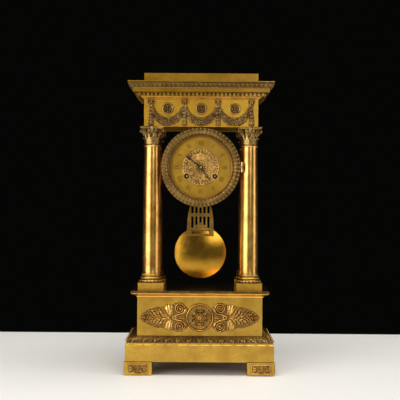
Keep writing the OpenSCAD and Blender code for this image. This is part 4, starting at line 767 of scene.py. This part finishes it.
def bezel():
    """Leaves and beads over the bezel's round front."""
    inner, outer, rise = HIGH["sight_ring"][0], 62.5, 3.1
    mid, half = (inner + outer) / 2, (outer - inner) / 2

    def ring(v):
        a = np.radians(172 - 160 * v)
        r, y = mid + half * np.cos(a), BEZEL_FRONT + rise - rise * np.sin(a)
        nr, ny = np.cos(a) / half, -np.sin(a) / rise
        size = np.hypot(nr, ny)
        return r, y, nr / size, ny / size

    repeats = 60
    pitch = 2 * math.pi * mid / repeats
    c = Canvas(-pitch / 2, pitch / 2, 0, 12.6, 0.38)
    c.H += 0.3
    for x in (-pitch / 2, pitch / 2):
        c.leaf(x, 0.6, 90, 8.6, pitch * 0.92, 2.1, 2, notch=0.2)
        for side in (1, -1):
            c.leaf(x + side * pitch / 2, 2.6, 90, 6.4, pitch * 0.46, 1.3, 1, notch=0.0)
        c.dome(x, 9.7, 1.7, 1.75)
        c.dome(x, 12.1, 0.8, 1.0)
    for x in (-pitch, 0, pitch):
        c.dome(x, 10.9, 0.9, 1.2)
    shell = Shell()
    turned_skin(shell, c, repeats, ring, (0, 0, Z_DIAL), "y", level=1.1, depth=1.1)
    shell.make("bezel_leaf_cast", brown_gilt, body="bezel")


bezel()


def column_toruses():
    """Leaves round the lower torus of each column's base."""
    outer, height = 19, 13.2
    tube = height * 0.36 / 2

    def ring(v):
        a = np.radians(-62 + 140 * v)
        return outer - tube + tube * np.cos(a), tube + tube * np.sin(a), np.cos(a), np.sin(a)

    repeats = 20
    pitch = 2 * math.pi * (outer - 0.5) / repeats
    c = Canvas(-pitch / 2, pitch / 2, 0, 5.8, 0.48)
    c.H += 0.1
    for x in (-pitch, 0, pitch):
        c.leaf(x, 5.6, -90, 5.4, pitch * 0.8, 0.85, 2, notch=0.2)
        c.leaf(x + pitch / 2, 5.6, -90, 3.8, pitch * 0.36, 0.55, 1, notch=0.0)
    shell = Shell()
    for column in COLUMNS:
        x, y, _ = middle("column_shaft_" + column)
        foot = HIGH["column_bases"][2] - height
        turned_skin(shell, c, repeats, ring, (x, y, foot), "z", level=0.6, depth=0.6)
    shell.make("column_torus_cast", cast_gilt)


column_toruses()


# Column shafts

def column_shaft(name):
    """Smooth turned shaft with a swelling, a flare at the foot and a ring under the capital."""
    foot_r, taper, ring_r, ring_h = 14.2, 1.8, 12.3, 3.0
    top = HIGH[name][2] - LOW[name][2]
    t = np.linspace(0, 1, 20)
    a = np.radians(np.linspace(-90, 90, 11))
    shell = Shell()
    shell.add_turned(np.concatenate([
        [[foot_r, 0.02], [15.2, 0.05], [15.3, 0.7], [14.6, 1.6]],
        np.c_[foot_r - taper * t ** 2, 3 + (top - ring_h - 3) * t],
        np.c_[ring_r + 1.5 * np.cos(a), top - ring_h / 2 + 1.45 * np.sin(a)],
        [[11.6, top - 0.03]]]), sides=120, back=1.4)
    shell.make(name + "_turned", column_gilt, replaces=[name], shift=foot_of(name))


for column in COLUMNS:
    column_shaft("column_shaft_" + column)


# Capitals

def capital(name):
    """Corinthian capital: bell, two rows of acanthus, corner volutes, inner scrolls, abacus and flowers."""
    shell = Shell()
    slab, half, sag = 3.2, 19.5, 2.6
    bell_h = HIGH[name][2] - LOW[name][2] - slab

    def leaf_sheet(turn, h, out, wide, base_r):
        """A veined leaf that leans out and curls over at its tip."""
        u, s = np.linspace(0, 1, 26)[:, None], np.linspace(-1, 1, 15)[None]
        knots = [0, 0.45, 0.7, 0.85, 0.94, 1]
        r = base_r + np.interp(u, knots, [0.2, 0.7, 0.42 * out, 0.85 * out, out, out * 0.9]) + 0 * s
        z = h * np.interp(u, knots, [0, 0.62, 0.9, 1.0, 0.94, 0.82]) + 0 * s
        lobes = 1 - 0.2 * (0.5 + 0.5 * np.cos(2 * np.pi * 3.5 * u))
        width = wide * np.interp(u, [0, 0.5, 0.8, 0.93, 1], [0.92, 1.0, 0.74, 0.46, 0.16]) * lobes
        d = s * width / 2
        a = math.radians(turn) + d / (base_r + 2)
        lift = -0.5 * (np.abs(s) ** 2) * (0.4 + u)
        P = np.stack([(r + lift) * np.cos(a), (r + lift) * np.sin(a), z], axis=-1)
        du, ds = np.gradient(P, axis=0), np.gradient(P, axis=1)
        N = np.cross(ds, du)
        N /= np.linalg.norm(N, axis=-1, keepdims=True)
        vein = 0.55 * np.exp(-(s / 0.12) ** 2) + 0.3 * np.cos(np.pi * 7 * (u - 0.22 * np.abs(s))) ** 2
        H = 0.55 + 0.55 * np.clip(1 - s * s, 0, 1) - 0.5 * vein * np.clip(1 - 0.3 * u, 0, 1)
        shell.add(np.clip(H, 0.12, None), P, N, back=0.45, whole=True, cells=1)

    shell.add_turned([[11.3, 0.0], [11.2, 15.2], [12.0, 19], [13.2, 22], [14.9, 25.2]], sides=64, back=1.2)
    shell.add_turned([[12.4, 0.05], [13.0, 0.5], [13.0, 1.1], [12.4, 1.6]], sides=48, back=1.2)
    for k in range(8):
        leaf_sheet(k * 45, bell_h * 0.47, 3.7, 9.3, 11.3)
        leaf_sheet(k * 45 + 22.5, bell_h * 0.76, 4.6, 9.0, 11.2)

    def scroll(turn, at, r, turns, wide, stem):
        """A ribbon wound into a volute, in the upright plane at an angle about the axis."""
        t = np.linspace(0, 1, 40)
        a = np.radians(70) - 2 * np.pi * turns * t
        d = r * (1 - 0.84 * t)
        path = np.concatenate([np.array(stem, float), np.c_[at[0] + d * np.cos(a), at[1] + d * np.sin(a)]])
        step = np.gradient(path, axis=0)
        step /= np.linalg.norm(step, axis=1, keepdims=True)
        normal = np.c_[-step[:, 1], step[:, 0]]
        breadth = np.concatenate([np.full(len(stem), wide / 2 * 0.7), wide / 2 * (1 + 0.35 * t)])
        s = np.linspace(-1, 1, 5)[None]
        c, q = polar(1, turn)
        side = breadth[:, None] * s
        flat = 0 * side
        P = np.stack([path[:, :1] * c - side * q, path[:, :1] * q + side * c, path[:, 1:] + flat], axis=-1)
        N = np.stack([normal[:, :1] * c + flat, normal[:, :1] * q + flat, normal[:, 1:] + flat], axis=-1)
        shell.add(0.3 + 0.22 * np.abs(s) + flat, P, N, back=0.3, depth=0.5, whole=True, cells=1)

    corner = half * math.sqrt(2) - 6.6
    for a in range(0, 360, 90):
        scroll(a + 45, (corner - 0.2, bell_h - 3.7), 3.6, 1.6, 4.2,
               [[11.4, 13.5], [12.2, 17], [13.8, 20], [16.2, 22.6], [18.4, bell_h - 0.3]])
    for a in range(0, 360, 90):
        for s in (-1, 1):
            scroll(a + s * 14, (14.2, bell_h - 3.2), 2.2, 1.4, 1.6,
                   [[11.6, 15.5], [11.8, 18.5], [12.6, 21.5], [13.4, bell_h - 1.6]])

    # abacus with hollow sides and cut corners, in three moulded steps
    bow = (half * half + sag * sag) / (2 * sag)
    line = []
    for k in range(4):
        c, q = polar(1, 90 * k)
        for x in half * np.linspace(-0.915, 0.915, 19):
            y = half - sag + bow - math.sqrt(bow * bow - x * x)
            line.append((y * c - x * q, y * q + x * c))
    line = np.array(line)
    inward = line / np.linalg.norm(line, axis=1, keepdims=True)
    steps = [(1.5, 0.0), (1.5, 0.5), (0.9, 0.9), (0.7, 1.6), (0.25, 1.75), (0.05, 2.3), (0.05, slab)]
    P = np.stack([np.c_[line - inward * s, np.full(len(line), bell_h + z)] for s, z in steps], axis=1)
    N = np.repeat(np.c_[inward, np.zeros(len(line))][:, None], len(steps), axis=1)
    shell.add(np.full(P.shape[:2], SKIN), P, N, back=6.0, whole=True, wrap=True)

    # flower in the middle of each side of the abacus
    f = Canvas(-3.2, 3.2, -3.2, 3.2, 0.32)
    for a in range(0, 360, 60):
        f.leaf(*polar(0.5, a), a, 2.6, 1.8, 1.5, 1, notch=0.0)
    f.dome(0, 0, 1.1, 2.0)
    X, Y = np.meshgrid(f.x, f.y, indexing="ij")
    r = half - sag + 0.1
    for k in range(4):
        c, q = polar(1, 90 * k)
        P = np.stack([r * c - X * q, r * q + X * c, bell_h + 1.3 + Y], axis=-1)
        shell.add(f.H, P, np.broadcast_to([c, q, 0.0], P.shape), back=0.8, depth=0.9)
    shell.make(name + "_cast", brown_gilt, replaces=[name], shift=foot_of(name))


for column in COLUMNS:
    capital("capital_" + column)


# Dial

# numerals: the radius of their feet and each stroke's corners on a line of writing
NUMERAL_R, WIDTH = 34.6, {"I": 2, "V": 4.6, "X": 4.6}
STROKES = {
    "I": [[(0.55, 0.05), (1.45, 0.05), (1.45, 7.15), (0.55, 7.15)]],
    "V": [[(1.95, 0.05), (2.65, 0.05), (1.45, 7.15), (0.4, 7.15)],
          [(2.15, 0.05), (2.55, 0.05), (4.2, 7.15), (3.85, 7.15)]],
    "X": [[(3.2, 0.05), (4.2, 0.05), (1.4, 7.15), (0.4, 7.15)],
          [(0.4, 0.05), (0.75, 0.05), (4.2, 7.15), (3.85, 7.15)]],
}
# minute track: inner radius, outer radius of a stroke and of every fifth, and half a stroke's width
TRACK, MINUTE, FIFTH, HALF_STROKE = 45.1, 46.5, 47.3, 0.17


def dial_ink():
    """Dark wax in the engraved numerals and minute track."""
    outlines = []

    def engrave(corners, clock_angle):
        c, q = polar(1, clock_angle)
        outlines.append([(x * c + z * q, -x * q + z * c) for x, z in corners])

    for i, word in enumerate(["XII", "I", "II", "III", "IIII", "V", "VI", "VII", "VIII", "IX", "X", "XI"]):
        left = -sum(WIDTH[letter] for letter in word) / 2
        for letter in word:
            for stroke in STROKES[letter]:
                engrave([(x + left, z + NUMERAL_R) for x, z in stroke], 30 * i)
            left += WIDTH[letter]
    for i in range(60):
        w, reach = HALF_STROKE, MINUTE if i % 5 else FIFTH
        engrave([(-w, TRACK), (w, TRACK), (w, reach), (-w, reach)], 6 * i)

    points, faces = [], []
    for line in outlines:
        if sum(a[0] * b[1] - b[0] * a[1] for a, b in zip(line, line[1:] + line[:1])) < 0:
            line = line[::-1]
        n, off = len(line), len(points)
        points += [(x, y, z + Z_DIAL) for y in (DIAL_FACE + 0.04, DIAL_FACE + 0.13) for x, z in line]
        faces.append([off + k for k in range(n)])
        faces.append([off + n + k for k in reversed(range(n))])
        faces += [[off + k, off + n + k, off + n + (k + 1) % n, off + (k + 1) % n] for k in range(n)]
    mesh = bpy.data.meshes.new("dial_ink")
    mesh.from_pydata([tuple(v * MM for v in p) for p in points], [], faces)
    put_in("dial_ink", mesh, ink, "root")


dial_ink()


DISC_R, HANDS_HOLE, WINDING_HOLE, EYELET = 29.3, 5.3, 4.15, 4.8  # radii of the centre disc and its openings


def dial_chasing():
    """Chased centre disc with its holes for the hands and the winding squares."""
    c = Canvas(-29.5, 29.5, -29.5, 29.5, 0.32)
    X, Y = np.meshgrid(c.x, c.y, indexing="ij")
    for r, half, h in ((27.9, 0.6, 0.9), (24.4, 0.4, 0.8), (9.6, 0.45, 0.8)):
        c.ring(0, 0, r, half, h)
    for a in range(0, 360, 10):
        c.dome(*polar(26.1, a), 1.05, 0.9)
    for a in range(15, 360, 30):
        c.leaf(*polar(10.4, a), a, 13.0, 5.4, 1.0, 4)
        for side in (-1, 1):
            c.spiral(*polar(20.2, a + side * 11.5), 2.7, a + 180, side * 1.5, 0.5, 0.95)
            c.leaf(*polar(11.2, a + side * 15), a + side * 4, 6.4, 2.2, 0.9, 2)
        for r, size in ((22.6, 0.8), (15.4, 0.9), (7.6, 0.95)):
            c.dome(*polar(r, a + 15), size, 0.9)
    H = np.minimum(c.H, 1.0)
    far = np.hypot(X, Y)
    inside = (far < DISC_R) & (far > HANDS_HOLE)
    for x in (WIND_X, -WIND_X):
        hole = np.hypot(X - x, Y + Z_DIAL - WIND_Z)
        H = np.where(hole < 5.4, np.sqrt(np.clip(1 - ((hole - EYELET) / 0.8) ** 2, 0, 1)), H)
        inside &= hole > WINDING_HOLE
    keep = inside[:-1, :-1] & inside[1:, :-1] & inside[:-1, 1:] & inside[1:, 1:]
    shell = Shell()
    P, N = on_front(c.x, c.y + Z_DIAL, DIAL_FACE - 0.75)
    shell.add(0.04 + 0.42 * H, P, N, back=0.7, keep=keep, depth=0.25, level=0.3)
    shell.make("dial_centre_chased", cast_gilt, replaces=["dial_centre"], slot="dial_gilt")


dial_chasing()


def shade_washers():
    """Black washers behind the dial, which close the winding holes and stand as painted shade in their depth.
    """
    a, r, y = np.linspace(0, 2 * np.pi, 40, endpoint=False)[:, None], np.array([[2.35, 5.0]]), -33.4
    for name, x in (("going_shade_washer", WIND_X), ("strike_shade_washer", -WIND_X)):
        shell = Shell()
        P = np.stack([x + r * np.sin(a), y + 0 * a * r, WIND_Z + r * np.cos(a)], axis=-1)
        N = np.broadcast_to([0.0, -1.0, 0.0], P.shape)
        shell.add(np.full(P.shape[:2], 0.1), P, N, back=0.3, whole=True, wrap=True)
        shell.make(name, shade_black, slot="steel")


shade_washers()


# Feet

# outer faces of the feet, which lie behind the CAD's rosettes, and the feet's middles
FOOT_SIDE, FOOT_FRONT, _ = HIGH["feet"] - 0.7
FOOT_X, FOOT_Y, FOOT_Z = FOOT_SIDE - 20.9, FOOT_FRONT - 19.9, middle("feet")[2]


def foot_panels():
    """Cast panel with a rosette between scrolling leaves, on each foot's two outer faces."""
    half_h = 7.6

    def panel(wide):
        c = Canvas(-wide, wide, -half_h, half_h, 0.36)
        X, Y = np.meshgrid(c.x, c.y, indexing="ij")
        c.H += 0.3
        frame = np.maximum(np.abs(X) - wide, np.abs(Y) - half_h)
        rib = 0.8 + 0.5 * np.sqrt(np.clip(1 - ((frame + 0.75) / 0.75) ** 2, 0, 1))
        c.H = np.where(frame > -1.5, rib, c.H)
        c.ring(0, 0, 5.3, 0.6, 1.7)
        for a in range(0, 360, 45):
            c.leaf(*polar(1.2, a), a, 3.7, 2.2, 1.9, 2)
        c.dome(0, 0, 1.4, 2.2)
        reach = wide - 8.0
        for s in (-1, 1):
            for t in (-1, 1):
                c.spiral(s * (6.0 + 0.38 * reach), t * 2.9, 2.5, 90 + 90 * s, s * t * 1.4, 0.55, 1.6)
                c.leaf(s * 6.2, t * 0.5, 90 - s * (90 - t * 12), reach * 0.95, 2.2, 1.7, 3)
                c.leaf(s * (5.4 + 0.62 * reach), t * 1.2, 90 - s * (90 - t * 52), 4.6, 2.2, 1.6, 2)
                c.dome(s * (wide - 2.6), t * (half_h - 2.7), 0.8, 1.3)
            c.dome(s * (wide - 3.0), 0, 1.0, 1.6)
        return c

    front, side = panel(15.6), panel(13.6)
    shell = Shell()

    def lay(c, origin, right, normal):
        """Puts a panel at its middle point, with its own x to the right."""
        X, Z = np.meshgrid(c.x, c.y, indexing="ij")
        P = np.array(origin) + X[..., None] * np.array(right) + Z[..., None] * np.array([0, 0, 1])
        shell.add(c.H, P, np.broadcast_to(normal, P.shape), back=0.2, depth=0.9, level=0.5)

    for sx in (-1, 1):
        for sy in (-1, 1):
            lay(front, (sx * FOOT_X, sy * FOOT_FRONT, FOOT_Z), (-sy, 0, 0), (0, sy, 0))
            lay(side, (sx * FOOT_SIDE, sy * FOOT_Y, FOOT_Z), (0, sx, 0), (sx, 0, 0))
    shell.make("foot_panels_cast", cast_gilt)


foot_panels()


# Stage

def table_material():
    mat, tree, bsdf = principled("table", (0.87, 0.87, 0.86), roughness=0.55)
    tone = ramp(tree, noise(tree, 3, 3, 0.5), [(0.3, (0.86, 0.86, 0.85)), (0.7, (0.89, 0.89, 0.88))])
    tree.links.new(tone, bsdf.inputs["Base Color"])
    return mat


# table top in metres, a little under the feet
SIDE, NEAR, BACK, TOP = 2.2, -0.75, 0.345, -0.0002
mesh = bpy.data.meshes.new("table_top")
mesh.from_pydata([(-SIDE, NEAR, TOP), (SIDE, NEAR, TOP), (SIDE, BACK, TOP), (-SIDE, BACK, TOP)],
                 [], [(0, 1, 2, 3)])
table = bpy.data.objects.new("table_top", mesh)
bpy.context.scene.collection.objects.link(table)
table.data.materials.append(table_material())

ROOM, BACKDROP = (0.17, 0.165, 0.155), (0.0018, 0.0018, 0.0016)


def studio():
    """A dim room that lights the clock, with a dark backdrop in view and in reflections."""
    world = bpy.data.worlds.new("studio")
    world.use_nodes = True
    tree = world.node_tree
    rays = tree.nodes.new("ShaderNodeLightPath").outputs
    seen = calc(tree, "MAXIMUM", rays["Is Camera Ray"], rays["Is Transmission Ray"])
    seen = calc(tree, "MAXIMUM", seen, rays["Is Glossy Ray"])
    skies = []
    for colour in (ROOM, BACKDROP):
        sky = tree.nodes.new("ShaderNodeBackground")
        sky.inputs["Color"].default_value = (*colour, 1)
        skies.append(sky.outputs["Background"])
    tree.links.new(mix_shader(tree, seen, *skies), tree.nodes["World Output"].inputs["Surface"])
    return world


bpy.context.scene.world = studio()


def lamp(name, at, towards, size, power):
    """A rectangular area light; places and sizes in metres, power in watts."""
    data = bpy.data.lights.new(name, "AREA")
    data.shape = "RECTANGLE"
    data.size, data.size_y = size
    data.energy = power
    data.color = (1, 0.97, 0.92)
    obj = bpy.data.objects.new(name, data)
    obj.location = at
    away = np.array(at) - np.array(towards)
    obj.rotation_euler = (math.atan2(math.hypot(away[0], away[1]), away[2]), 0, math.atan2(away[0], -away[1]))
    bpy.context.scene.collection.objects.link(obj)


lamp("softbox_left", (-1.0, -0.95, 0.42), (0, 0, 0.25), (1.15, 1.2), 15)
lamp("softbox_front", (0.44, -1.42, 0.64), (0, 0, 0.2), (0.46, 0.46), 2.2)
lamp("softbox_right", (1.2, -0.42, 0.42), (0, 0, 0.25), (0.4, 1.0), 3)
lamp("softbox_top", (0.15, -0.35, 1.7), (0, -0.15, 0.0), (1.4, 0.8), 24)

camera_data = bpy.data.cameras.new("photo_camera")
camera_data.sensor_width = 36
camera_data.lens = 76
camera_data.clip_start = 0.01
camera = bpy.data.objects.new("photo_camera", camera_data)
camera.location = (-0.0009, -1.3725, 0.2707)
camera.rotation_euler = (math.radians(90), math.radians(-0.4), 0)
bpy.context.scene.collection.objects.link(camera)
bpy.context.scene.camera = camera
bpy.context.scene.view_settings.view_transform = "Standard"
